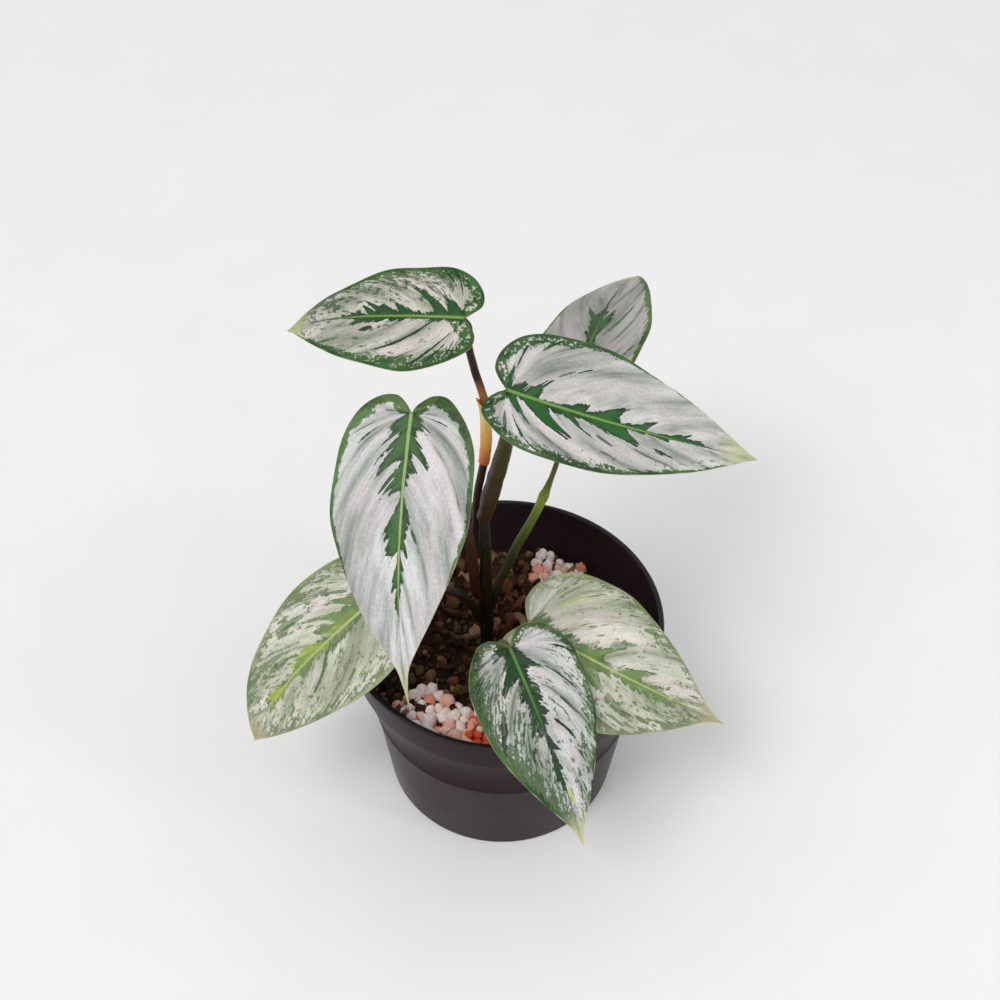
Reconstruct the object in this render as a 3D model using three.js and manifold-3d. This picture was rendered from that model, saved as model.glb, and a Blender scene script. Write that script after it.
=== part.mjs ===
// A young philodendron sodiroi in a round nursery pot: seven heart-shaped leaves on slim stalks,
// a short upright stem, and a chunky soil mix with pale grains on it.
// Millimetres, +Z up. The origin is the middle of the pot's flat underside, and the viewer stands at -Y.
import * as THREE from "three";
import { mergeVertices } from "three/addons/utils/BufferGeometryUtils.js";
import Module from "manifold-3d";

const wasm = await Module();
wasm.setup();

// Driving dimensions of the pot
const POT_RIM_RADIUS = 52.5;
const POT_HEIGHT = 75;
const POT_FOOT_RADIUS = 39.4;
const POT_WALL = 1.2;
const POT_RIM_WALL = 1.7;
const POT_FLOOR = 1.8;
const FLOOR_ROUND = 1.5;
const COLLAR_DEPTH = 14;
const COLLAR_STEP = 0.5;
const COLLAR_LOWER_RADIUS = 50.4;
const RIDGE_HEIGHT = 37.5;
const RIDGE_RADIUS = 43.8;
const RIDGE_RISE = 0.5;
const RIDGE_WIDTH = 0.8;
const FOOT_ROUND = 1;
const RIM_ROUND = 0.5;
const RIM_BAND = 1.6;
const POT_SEGMENTS = 48;
const DRAIN_HOLES = 6;
const DRAIN_SIDES = 10;
const DRAIN_HOLE_RADIUS = 3.6;
const DRAIN_CIRCLE_RADIUS = 30;

// The clearance that seated pieces keep, and the soil in the pot
const SEAT = 0.3;
const SOIL_LEVEL = 56;
const SOIL_RINGS = 11;
const SOIL_SEGMENTS = 44;
const SOIL_GRAIN_RISE = 3;
const SOIL_GRAIN_SPACING = 6.4;
const SOIL_GRAIN_JITTER = 0.35;

// The pale grains and red clay chips: arcs of cells along the pot's wall, in degrees round +Z
const GRAIN_RADIUS = 3.5;
const GRAIN_PITCH = 4.9;
const FRONT_GRAINS = { from: -143, to: -108, inner: 31, rows: 3 };
const FRONT_CHIPS = { from: -98, to: -84, inner: 31, rows: 3 };
const BACK_GRAINS = { from: 55, to: 71, inner: 36, rows: 2 };
const BED_DEPTH = 1.8;
const BED_MARGIN = 4.4;
const LUMP_LIFT = 0.4;
const LUMP_HEAP = 1.4;
const LUMP_SHUFFLE = 0.8;

// Leaf blades
const BLADE_THICKNESS = 0.8;
const BLADE_ROWS = 20;
const BLADE_COLUMNS = 3;
const BEND_STEPS = 40;
const LOBE_SHARE = 0.4;
const VEIN_START = 0.24;
const VEIN_SWEEP = 1.4;
const VEIN_SPREAD = 0.55;
const VEIN_LEAN = 0.38;
const LOBE_DROP = 0.16;
const EDGE_WAVES = 2.6;
const EDGE_WAVE_HEIGHT = 0.7;

// One half of a flat blade from the notch round the lobe to the tip: shares of half width and length.
// The second list ends in a long drip tip.
const PLAIN_OUTLINE = [
  [0.0, 0.0],
  [0.1, -0.035],
  [0.3, -0.068],
  [0.55, -0.06],
  [0.78, -0.005],
  [0.94, 0.09],
  [1.0, 0.21],
  [0.97, 0.34],
  [0.88, 0.46],
  [0.74, 0.58],
  [0.56, 0.7],
  [0.36, 0.81],
  [0.18, 0.9],
  [0.07, 0.955],
  [0.0, 1.0],
];
const DRIP_OUTLINE = [
  [0.0, 0.0],
  [0.1, -0.035],
  [0.28, -0.066],
  [0.52, -0.052],
  [0.78, 0.02],
  [0.95, 0.12],
  [1.0, 0.24],
  [0.98, 0.36],
  [0.86, 0.47],
  [0.7, 0.58],
  [0.48, 0.69],
  [0.25, 0.79],
  [0.1, 0.86],
  [0.04, 0.92],
  [0.0, 1.0],
];

// Each leaf: base is the notch where the stalk meets the blade, left and right are the half widths,
// heading turns from +Y towards +X, rise lifts the midrib at its base, droop bends it down by the tip
// and swing bends it sideways, roll tips the blade about the midrib, and the folds lift its halves.
const LEAVES = {
  upper_left: {
    base: [-12.9, 6, 195.7],
    length: 60.2,
    left: 18.6,
    right: 16.5,
    heading: -75,
    rise: -10.7,
    droop: 32.1,
    swing: 0.2,
    roll: -18.4,
    foldLeft: 8.9,
    foldRight: 7.3,
    curl: 0.09,
    drip: 0,
    wave: 0.4,
  },
  front: {
    base: [-26.7, -14, 178.1],
    length: 82,
    left: 20.4,
    right: 21.2,
    heading: 186.5,
    rise: -34.9,
    droop: 33.7,
    swing: -4.9,
    roll: 14,
    foldLeft: 5.2,
    foldRight: 5.5,
    curl: 0.09,
    drip: 1,
    wave: 1.7,
  },
  lower_left: {
    base: [-36.9, -16, 104.7],
    length: 76,
    left: 21,
    right: 19.3,
    heading: -117.6,
    rise: -31.3,
    droop: 55.8,
    swing: -7.2,
    roll: -21.7,
    foldLeft: 3.9,
    foldRight: 12.6,
    curl: 0.1,
    drip: 0,
    wave: 2.9,
  },
  right: {
    base: [-0.3, -4, 178.3],
    length: 76.9,
    left: 21.3,
    right: 17.8,
    heading: 99,
    rise: -16.7,
    droop: 13.6,
    swing: -12.2,
    roll: 23.6,
    foldLeft: 5.2,
    foldRight: 12.1,
    curl: 0.04,
    drip: 0,
    wave: 4.1,
  },
  back: {
    base: [19.6, 28, 151.2],
    length: 69.6,
    left: 20.9,
    right: 20.4,
    heading: 16.1,
    rise: 6.2,
    droop: 37.2,
    swing: -2.8,
    roll: -23.5,
    foldLeft: 3.2,
    foldRight: 6.3,
    curl: 0.06,
    drip: 0.1,
    wave: 5.2,
  },
  lower_right: {
    base: [7.9, -24, 99.9],
    length: 70.6,
    left: 23.6,
    right: 22.5,
    heading: 110.7,
    rise: -21.8,
    droop: 20.9,
    swing: -10.3,
    roll: 24.4,
    foldLeft: 8.5,
    foldRight: 3.4,
    curl: 0.06,
    drip: 0.5,
    wave: 0.9,
  },
  front_right: {
    base: [2, -38, 106],
    length: 64.7,
    left: 19.4,
    right: 18.2,
    heading: 146.2,
    rise: -41,
    droop: 14,
    swing: 3,
    roll: 0.4,
    foldLeft: 4.4,
    foldRight: 5.7,
    curl: 0.07,
    drip: 0.4,
    wave: 3.3,
  },
};

// Stem and stalks: points of the middle line from the root end up, and radii as [share of length, radius].
// A stalk with a leaf's name runs on from its last point to that leaf's notch.
const STEM = {
  points: [
    [-4.6, 2.6, 40],
    [-5.4, 3, 56],
    [-6.0, 3, 78],
    [-6.2, 3, 100],
    [-6.8, 3, 118],
  ],
  radii: [
    [0, 1.9],
    [0.25, 2.2],
    [0.6, 2.0],
    [1, 1.7],
  ],
};
const STALKS = {
  right: {
    points: [
      [-6.8, 3, 118.6],
      [-5.6, 2.5, 124.7],
      [-3.5, 2, 136.1],
      [-1.8, 1, 145.7],
      [-0.1, 0, 155.7],
      [0.8, 0, 163.5],
    ],
    radii: [
      [0, 2.3],
      [0.15, 2.7],
      [0.45, 2.5],
      [0.7, 1.9],
      [0.85, 1.3],
      [1, 1.2],
    ],
  },
  upper_left: {
    points: [
      [-9.6, 4.5, 112],
      [-9.4, 5.8, 118],
      [-8.9, 6.6, 126],
      [-7.6, 7, 134],
      [-6.6, 7.2, 142],
      [-6.3, 7.4, 152],
      [-6.8, 7.5, 162],
      [-9.9, 7.5, 175.2],
      [-11.8, 7.2, 186],
    ],
    radii: [
      [0, 1.2],
      [0.4, 1.3],
      [0.8, 1.15],
      [1, 1.1],
    ],
  },
  back: {
    points: [
      [-4.4, 4.6, 74],
      [-2.6, 7, 80.5],
      [0.9, 11, 87.4],
      [3.4, 14, 92.5],
      [7.1, 17, 98.9],
      [10.8, 20, 106.7],
      [13.2, 22, 113.4],
      [15.5, 24, 121],
      [18.2, 26.4, 135],
    ],
    radii: [
      [0, 1.7],
      [0.2, 1.6],
      [0.5, 1.45],
      [0.58, 0.85],
      [1, 0.8],
    ],
  },
  front: {
    points: [
      [-8.4, 2.4, 82],
      [-9.9, 1.2, 94],
      [-10.6, 0, 106],
      [-12.0, -2, 118],
      [-16.3, -5, 138.8],
      [-21.6, -7.5, 158],
    ],
    radii: [
      [0, 1.7],
      [0.4, 1.7],
      [0.7, 1.3],
      [1, 1.1],
    ],
  },
  lower_left: {
    points: [
      [-8.0, 0.6, 72],
      [-10.5, -1.6, 82],
      [-15.8, -5, 92],
      [-23.3, -9, 98.4],
      [-30.0, -12, 100.4],
    ],
    radii: [
      [0, 1.5],
      [0.5, 1.3],
      [1, 1.1],
    ],
  },
  lower_right: {
    points: [
      [-1.8, -0.6, 44],
      [-1.7, -2.4, 56],
      [-0.6, -6, 67],
      [0.6, -11, 79],
      [2.1, -15.5, 90.5],
      [3.9, -19, 98],
      [5.9, -21.8, 99.6],
    ],
    radii: [
      [0, 1.4],
      [0.6, 1.2],
      [1, 1.1],
    ],
  },
  front_right: {
    points: [
      [-4.4, -4.6, 44],
      [-4.6, -7, 56],
      [-5.2, -13, 68],
      [-5.8, -21, 81],
      [-5.4, -28, 92],
      [-2.8, -33, 99.6],
    ],
    radii: [
      [0, 1.4],
      [0.6, 1.2],
      [1, 1.1],
    ],
  },
};
// Where a stalk comes up to its leaf: how far below the notch, and how far behind it.
const STALK_DROP = 5;
const STALK_TUCK = 0.9;
const APPROACHES = {
  lower_right: [2.4, 1.6],
  front_right: [3.6, 1.6],
  back: [3.6, 1.5],
};
const STALK_SIDES = 7;
const STALK_STEPS = 14;
const STEM_SIDES = 9;

// The papery sheath round the foot of the upper left leaf's stalk
const SHEATH = {
  from: 0.32,
  to: 0.63,
  wrap: 130,
  facing: 20,
  thickness: 0.7,
  gap: 0.35,
  tip: 0.08,
  columns: 6,
  rows: 8,
};

const MATERIALS = {
  pot: { color: 0x1f1a1c, roughness: 0.3 },
  soil: { color: 0x3a251a, roughness: 0.95 },
  grains: { color: 0xe8d3cd, roughness: 0.85 },
  chips: { color: 0xb4532f, roughness: 0.9 },
  stem: { color: 0x2c3a26, roughness: 0.5 },
  stalk: { color: 0x6b5a2c, roughness: 0.5 },
  sheath: { color: 0xd9923f, roughness: 0.6 },
  blade: { color: 0x8fa58c, roughness: 0.4 },
};

// Solids

function solidOf(geometry) {
  const bare = geometry.clone();
  bare.deleteAttribute("normal");
  bare.deleteAttribute("uv");
  const merged = mergeVertices(bare, 1e-3);
  const corners = merged.index.array;
  const kept = [];
  for (let i = 0; i < corners.length; i += 3) {
    const [a, b, c] = corners.slice(i, i + 3);
    if (a !== b && b !== c && c !== a) kept.push(a, b, c);
  }
  return new wasm.Manifold(
    new wasm.Mesh({
      numProp: 3,
      vertProperties: merged.attributes.position.array,
      triVerts: new Uint32Array(kept),
    }),
  );
}

function geometryOf(solid) {
  const made = solid.getMesh();
  const geometry = new THREE.BufferGeometry();
  geometry.setAttribute("position", new THREE.BufferAttribute(made.vertProperties, 3));
  geometry.setIndex(new THREE.BufferAttribute(made.triVerts, 1));
  geometry.computeVertexNormals();
  return geometry;
}

// A cut can leave a loose scrap, which is dropped: the largest piece is the part.
function largest(solid) {
  return solid.decompose().sort((a, b) => b.volume() - a.volume())[0];
}

function trimmed(solid, ...cutters) {
  return largest(cutters.reduce((left, cutter) => left.subtract(cutter), solid));
}

function joined(solids) {
  return largest(solids.reduce((sum, next) => sum.add(next)));
}

function turned(profile, segments) {
  const points = profile.map(([radius, height]) => new THREE.Vector2(radius, height));
  return new THREE.LatheGeometry(points, segments).rotateX(Math.PI / 2);
}

function seededRandom(seed) {
  let state = seed;
  return () => {
    state = (state * 1664525 + 1013904223) % 4294967296;
    return state / 4294967296;
  };
}

const radians = THREE.MathUtils.degToRad;

// A closed sheet from two faces over one grid, split into triangles alike on both faces.
// face(across, along, side) gives a point, with across from -1 to 1, along from 0 to 1 and side 1 or 0.
function sheet(columns, rows, face) {
  const grid = new THREE.PlaneGeometry(2, 1, columns, rows);
  const flat = grid.attributes.position;
  const count = flat.count;
  const points = new Float32Array(count * 6);
  for (let i = 0; i < count; i += 1) {
    const across = flat.getX(i);
    const along = flat.getY(i) + 0.5;
    face(across, along, 1).toArray(points, i * 3);
    face(across, along, 0).toArray(points, (count + i) * 3);
  }
  const upper = Array.from(grid.index.array);
  const corners = [...upper];
  for (let i = 0; i < upper.length; i += 3) {
    corners.push(upper[i] + count, upper[i + 2] + count, upper[i + 1] + count);
  }
  const wide = columns + 1;
  const edge = (a, b) => corners.push(b, a + count, a, b, b + count, a + count);
  for (let row = 0; row < rows; row += 1) {
    edge((row + 1) * wide, row * wide);
    edge(row * wide + columns, (row + 1) * wide + columns);
  }
  for (let column = 0; column < columns; column += 1) {
    edge(column, column + 1);
    edge(rows * wide + column + 1, rows * wide + column);
  }
  const geometry = new THREE.BufferGeometry();
  geometry.setAttribute("position", new THREE.BufferAttribute(points, 3));
  geometry.setIndex(corners);
  return geometry;
}

// Pot

function potGeometry() {
  const collarLow = POT_HEIGHT - COLLAR_DEPTH;
  const outside = [
    [0, 0],
    [POT_FOOT_RADIUS - FOOT_ROUND, 0],
    [POT_FOOT_RADIUS, FOOT_ROUND],
    [RIDGE_RADIUS, RIDGE_HEIGHT - RIDGE_WIDTH],
    [RIDGE_RADIUS + RIDGE_RISE, RIDGE_HEIGHT],
    [RIDGE_RADIUS + RIDGE_RISE, RIDGE_HEIGHT + RIDGE_WIDTH],
    [COLLAR_LOWER_RADIUS - COLLAR_STEP, collarLow],
    [COLLAR_LOWER_RADIUS, collarLow + COLLAR_STEP],
    [POT_RIM_RADIUS - RIM_ROUND, POT_HEIGHT - RIM_BAND],
    [POT_RIM_RADIUS, POT_HEIGHT - RIM_BAND + RIM_ROUND],
    [POT_RIM_RADIUS, POT_HEIGHT - RIM_ROUND],
    [POT_RIM_RADIUS - RIM_ROUND, POT_HEIGHT],
  ];
  const inside = [
    [POT_RIM_RADIUS - POT_RIM_WALL, POT_HEIGHT],
    [COLLAR_LOWER_RADIUS - POT_WALL, collarLow + 1],
    [insideRadius(collarLow), collarLow],
    [insideRadius(RIDGE_HEIGHT), RIDGE_HEIGHT],
    [insideRadius(POT_FLOOR + FLOOR_ROUND), POT_FLOOR + FLOOR_ROUND],
    [insideRadius(POT_FLOOR) - FLOOR_ROUND, POT_FLOOR],
    [0, POT_FLOOR],
  ];
  const body = solidOf(turned([...outside, ...inside], POT_SEGMENTS));
  const holes = [];
  for (let i = 0; i < DRAIN_HOLES; i += 1) {
    const angle = (2 * Math.PI * i) / DRAIN_HOLES;
    const hole = new THREE.CylinderGeometry(DRAIN_HOLE_RADIUS, DRAIN_HOLE_RADIUS, POT_FLOOR * 4, DRAIN_SIDES);
    hole.rotateX(Math.PI / 2);
    hole.translate(DRAIN_CIRCLE_RADIUS * Math.cos(angle), DRAIN_CIRCLE_RADIUS * Math.sin(angle), 0);
    holes.push(solidOf(hole));
  }
  return geometryOf(trimmed(body, ...holes));
}

// The wall's inside radius at a height below the collar: two straight slopes that meet at the ridge.
function insideRadius(height) {
  const collarLow = POT_HEIGHT - COLLAR_DEPTH;
  const upperRadius = COLLAR_LOWER_RADIUS - COLLAR_STEP;
  const lower = THREE.MathUtils.mapLinear(height, 0, RIDGE_HEIGHT, POT_FOOT_RADIUS, RIDGE_RADIUS);
  const upper = THREE.MathUtils.mapLinear(height, RIDGE_HEIGHT, collarLow, RIDGE_RADIUS, upperRadius);
  return (height < RIDGE_HEIGHT ? lower : upper) - POT_WALL;
}

// Soil: a filled cone with a grainy top, whose height comes from rounded cells on a jittered grid

function cellRise(x, y) {
  const pitch = SOIL_GRAIN_SPACING;
  const column = Math.floor(x / pitch);
  const row = Math.floor(y / pitch);
  let nearest = Infinity;
  for (let i = column - 1; i <= column + 1; i += 1) {
    for (let j = row - 1; j <= row + 1; j += 1) {
      const jitterX = 0.5 + SOIL_GRAIN_JITTER * Math.sin(i * 12.9 + j * 78.2);
      const jitterY = 0.5 + SOIL_GRAIN_JITTER * Math.sin(i * 39.3 + j * 11.1);
      const distance = Math.hypot(x - (i + jitterX) * pitch, y - (j + jitterY) * pitch);
      nearest = Math.min(nearest, distance);
    }
  }
  return SOIL_GRAIN_RISE * (1 - Math.min(nearest / pitch, 1) ** 2) - SOIL_GRAIN_RISE / 2;
}

function soilSolid() {
  const low = POT_FLOOR + SEAT;
  const wallAt = (height) => insideRadius(height) - SEAT;
  const profile = [[0, low]];
  const round = FLOOR_ROUND + SEAT;
  profile.push([wallAt(low) - round, low], [wallAt(low + round), low + round]);
  profile.push([wallAt(RIDGE_HEIGHT), RIDGE_HEIGHT]);
  for (let ring = SOIL_RINGS; ring >= 0; ring -= 1) {
    profile.push([(wallAt(SOIL_LEVEL - SOIL_GRAIN_RISE) * ring) / SOIL_RINGS, SOIL_LEVEL]);
  }
  const body = mergeVertices(withoutShading(turned(profile, SOIL_SEGMENTS)), 1e-3);
  const place = body.attributes.position;
  for (let i = 0; i < place.count; i += 1) {
    const x = place.getX(i);
    const y = place.getY(i);
    const onTop = Math.abs(place.getZ(i) - SOIL_LEVEL) < 0.01;
    if (onTop) place.setZ(i, SOIL_LEVEL + cellRise(x, y));
  }
  return solidOf(body);
}

function withoutShading(geometry) {
  geometry.deleteAttribute("normal");
  geometry.deleteAttribute("uv");
  return geometry;
}

// Grains and chips: cells on arcs along the wall, each a faceted lump that sinks into its neighbours.
// They stand on the floor of a shallow bed in the soil. flatness 1 leaves round lumps.
function lumpBed(region, seed, flatness) {
  const random = seededRandom(seed);
  const lumps = [];
  for (let row = 0; row < region.rows; row += 1) {
    const ring = region.inner + row * GRAIN_PITCH;
    const cells = Math.ceil((radians(region.to - region.from) * ring) / GRAIN_PITCH);
    for (let cell = 0; cell <= cells; cell += 1) {
      const lump = new THREE.IcosahedronGeometry(GRAIN_RADIUS * (0.85 + 0.3 * random()));
      lump.rotateX(2 * Math.PI * random());
      lump.rotateZ(2 * Math.PI * random());
      lump.scale(1, 1, flatness);
      const angle = THREE.MathUtils.lerp(region.from, region.to, cell / cells);
      const turn = radians(angle) + ((random() - 0.5) * LUMP_SHUFFLE) / ring;
      const radius = ring + (random() - 0.5) * LUMP_SHUFFLE;
      const height = SOIL_LEVEL + LUMP_LIFT + LUMP_HEAP * random();
      lump.translate(radius * Math.cos(turn), radius * Math.sin(turn), height);
      lumps.push(solidOf(lump));
    }
  }
  const below = new THREE.BoxGeometry(4 * POT_RIM_RADIUS, 4 * POT_RIM_RADIUS, SOIL_LEVEL);
  below.translate(0, 0, SOIL_LEVEL / 2 - BED_DEPTH + SEAT);
  return trimmed(joined(lumps), solidOf(below));
}

function bedPocket(region) {
  const inner = region.inner - BED_MARGIN;
  const outer = region.inner + (region.rows - 1) * GRAIN_PITCH + BED_MARGIN;
  const spread = THREE.MathUtils.radToDeg(BED_MARGIN / region.inner);
  const from = radians(region.from - spread);
  const to = radians(region.to + spread);
  const arc = new THREE.Shape();
  arc.absarc(0, 0, outer, from, to, false);
  arc.absarc(0, 0, inner, to, from, true);
  const depth = BED_DEPTH + 2 * SOIL_GRAIN_RISE;
  const pocket = new THREE.ExtrudeGeometry(arc, { depth, bevelEnabled: false, curveSegments: 8 });
  pocket.translate(0, 0, SOIL_LEVEL - BED_DEPTH);
  return solidOf(pocket);
}

// Stem and stalks: a round bar bent along a smooth line, thick or thin by its radii

function radiusAt(radii, share) {
  const next = Math.max(1, radii.findIndex(([at]) => at >= share));
  const [fromShare, fromRadius] = radii[next - 1];
  const [toShare, toRadius] = radii[next];
  return THREE.MathUtils.mapLinear(share, fromShare, toShare, fromRadius, toRadius);
}

function lineOf(points) {
  return new THREE.CatmullRomCurve3(points.map((point) => new THREE.Vector3(...point)));
}

function barSolid({ points, radii }, sides, grow) {
  const line = lineOf(points);
  const frames = line.computeFrenetFrames(STALK_STEPS);
  const bar = new THREE.CylinderGeometry(1, 1, 1, sides, STALK_STEPS);
  const place = bar.attributes.position;
  for (let i = 0; i < place.count; i += 1) {
    const ring = Math.round((place.getY(i) + 0.5) * STALK_STEPS);
    const radius = radiusAt(radii, ring / STALK_STEPS) + grow;
    const point = line.getPointAt(ring / STALK_STEPS);
    point.addScaledVector(frames.binormals[ring], place.getX(i) * radius);
    point.addScaledVector(frames.normals[ring], place.getZ(i) * radius);
    place.setXYZ(i, point.x, point.y, point.z);
  }
  return solidOf(bar);
}

// Leaf blades

// The midrib bends in short steps, and each step keeps its own frame: forward, up and sideways.
// The droop gathers towards the tip.
function midribFrames(leaf) {
  const heading = radians(leaf.heading);
  const rise = radians(leaf.rise);
  const forward = new THREE.Vector3(
    Math.cos(rise) * Math.sin(heading),
    Math.cos(rise) * Math.cos(heading),
    Math.sin(rise),
  );
  const up = new THREE.Vector3(
    -Math.sin(rise) * Math.sin(heading),
    -Math.sin(rise) * Math.cos(heading),
    Math.cos(rise),
  );
  up.applyAxisAngle(forward, radians(leaf.roll));
  const point = new THREE.Vector3(...leaf.base);
  const frames = [];
  for (let step = 0; step <= BEND_STEPS; step += 1) {
    const side = new THREE.Vector3().crossVectors(forward, up);
    frames.push({ point: point.clone(), forward: forward.clone(), up: up.clone(), side });
    const share = (step + 0.5) / BEND_STEPS;
    const down = (radians(leaf.droop) * 2 * share) / BEND_STEPS;
    forward.applyAxisAngle(side, -down);
    up.applyAxisAngle(side, -down);
    forward.applyAxisAngle(up, -radians(leaf.swing) / BEND_STEPS);
    point.addScaledVector(forward, leaf.length / BEND_STEPS);
  }
  return frames;
}

function outlineOf(leaf) {
  const points = PLAIN_OUTLINE.map(([width, along], i) => {
    const [dripWidth, dripAlong] = DRIP_OUTLINE[i];
    return new THREE.Vector2(
      THREE.MathUtils.lerp(width, dripWidth, leaf.drip),
      THREE.MathUtils.lerp(along, dripAlong, leaf.drip),
    );
  });
  return new THREE.SplineCurve(points);
}

// A point of the flat blade: each side vein leaves the midrib forward and swings out to the edge.
// Those of the lobes start at the notch.
function flatPoint(outline, across, along) {
  const edge = outline.getPoint(along);
  const past = Math.max(0, (edge.y - VEIN_START) / (1 - VEIN_START));
  const root = along < LOBE_SHARE ? 0 : past ** VEIN_SWEEP;
  const reach = Math.abs(across);
  const bendX = edge.x * VEIN_SPREAD;
  const bendY = THREE.MathUtils.lerp(root, edge.y, VEIN_LEAN);
  const x = 2 * reach * (1 - reach) * bendX + reach * reach * edge.x;
  const y = (1 - reach) ** 2 * root + 2 * reach * (1 - reach) * bendY + reach * reach * edge.y;
  return new THREE.Vector2(x, y);
}

function bladeGeometry(leaf, grow) {
  const frames = midribFrames(leaf);
  const outline = outlineOf(leaf);
  return sheet(2 * BLADE_COLUMNS, BLADE_ROWS, (across, along, side) => {
    const flat = flatPoint(outline, across, along);
    const isRight = across > 0;
    const halfWidth = (isRight ? leaf.right : leaf.left) + grow;
    const fold = radians(isRight ? leaf.foldRight : leaf.foldLeft);
    const out = flat.x * halfWidth;
    const far = flat.y * (leaf.length + 2 * grow) - grow;
    const behind = Math.min(far, 0);
    const spot = THREE.MathUtils.clamp((far / leaf.length) * BEND_STEPS, 0, BEND_STEPS);
    const step = Math.min(Math.floor(spot), BEND_STEPS - 1);
    const part = spot - step;
    const here = frames[step];
    const next = frames[step + 1];
    const up = here.up.clone().lerp(next.up, part);
    const sideways = here.side.clone().lerp(next.side, part);
    const wave = Math.sin(2 * Math.PI * EDGE_WAVES * flat.y + leaf.wave * (isRight ? 1 : 2));
    const rise =
      out * Math.sin(fold) -
      (leaf.curl * out * out) / halfWidth -
      (behind * behind) / (LOBE_DROP * leaf.length) +
      EDGE_WAVE_HEIGHT * wave * flat.x ** 2;
    const lift = side === 1 ? rise + grow : rise - BLADE_THICKNESS - grow;
    const point = here.point.clone().lerp(next.point, part);
    point.addScaledVector(here.forward, behind);
    point.addScaledVector(sideways, (isRight ? out : -out) * Math.cos(fold));
    point.addScaledVector(up, lift);
    return point;
  });
}

// A stalk comes up under its leaf and stops just short of the blade.
function stalkLine(name) {
  const { points, radii } = STALKS[name];
  const leaf = LEAVES[name];
  const { point, forward, up } = midribFrames(leaf)[0];
  const [below, behind] = APPROACHES[name] ?? [STALK_DROP, 0];
  const under = point.clone().addScaledVector(up, -below).addScaledVector(forward, -behind);
  const end = point.clone().addScaledVector(up, -BLADE_THICKNESS / 2).addScaledVector(forward, STALK_TUCK);
  return { points: [...points, under.toArray(), end.toArray()], radii };
}

// The papery sheath: a pointed scale that stands round one side of a stalk
function sheathGeometry(stalk) {
  const line = lineOf(stalk.points);
  const frames = line.computeFrenetFrames(BEND_STEPS);
  return sheet(SHEATH.columns, SHEATH.rows, (across, along, side) => {
    const share = THREE.MathUtils.lerp(SHEATH.from, SHEATH.to, along);
    const ring = Math.round(share * BEND_STEPS);
    const narrowing = Math.sqrt(Math.max(0, 1 - along ** 3));
    const turn = radians(SHEATH.facing - across * SHEATH.wrap * Math.max(narrowing, SHEATH.tip));
    const inner = radiusAt(stalk.radii, share) + SHEATH.gap;
    const radius = inner + (side === 1 ? SHEATH.thickness : 0);
    const point = line.getPointAt(share);
    point.addScaledVector(frames.binormals[ring], radius * Math.cos(turn));
    point.addScaledVector(frames.normals[ring], radius * Math.sin(turn));
    return point;
  });
}

// The whole plant

const plant = new THREE.Group();

function place(name, geometry, material) {
  const mesh = new THREE.Mesh(
    geometry,
    new THREE.MeshStandardMaterial({ ...MATERIALS[material], metalness: 0 }),
  );
  mesh.name = name;
  plant.add(mesh);
}

const stem = barSolid(STEM, STEM_SIDES, 0);
const wideStem = barSolid(STEM, STEM_SIDES, SEAT);
place("main_stem", geometryOf(stem), "stem");

// Each stalk is cut clear of the stem, of its own blade and of the stalks placed before it.
const wideStalks = [];
for (const name of Object.keys(STALKS)) {
  const line = stalkLine(name);
  const wideBlade = solidOf(bladeGeometry(LEAVES[name], SEAT));
  const stalk = trimmed(barSolid(line, STALK_SIDES, 0), wideStem, wideBlade, ...wideStalks);
  place(`stalk_${name}`, geometryOf(stalk), "stalk");
  wideStalks.push(barSolid(line, STALK_SIDES, SEAT));
}

for (const [name, leaf] of Object.entries(LEAVES)) {
  place(`leaf_${name}`, geometryOf(solidOf(bladeGeometry(leaf, 0))), "blade");
}

const sheath = solidOf(sheathGeometry(stalkLine("upper_left")));
place("stalk_sheath", geometryOf(trimmed(sheath, wideStem, wideStalks[0])), "sheath");

place("pot", potGeometry(), "pot");

const beds = [
  { name: "pumice_front", region: FRONT_GRAINS, seed: 11, flatness: 1, material: "grains" },
  { name: "clay_chips", region: FRONT_CHIPS, seed: 23, flatness: 0.7, material: "chips" },
  { name: "pumice_back", region: BACK_GRAINS, seed: 37, flatness: 1, material: "grains" },
];
for (const { name, region, seed, flatness, material } of beds) {
  place(name, geometryOf(lumpBed(region, seed, flatness)), material);
}
const pockets = beds.map(({ region }) => bedPocket(region));
place("soil", geometryOf(trimmed(soilSolid(), wideStem, ...wideStalks, ...pockets)), "soil");

export default plant;
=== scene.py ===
"""A young philodendron sodiroi with silver leaves in a round nursery pot.

The part's solids are loaded as a fixed frame, and finer pieces of the same form stand for them.
Sizes are in millimetres until a mesh is made, and in metres from there on.
"""

import logging
import math
import random
from collections.abc import Callable, Iterable, Sequence
from dataclasses import dataclass, field, replace
from enum import Enum
from typing import NamedTuple

import bmesh
import bpy
import numpy as np
from mathutils import Matrix, Quaternion, Vector, noise


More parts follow.
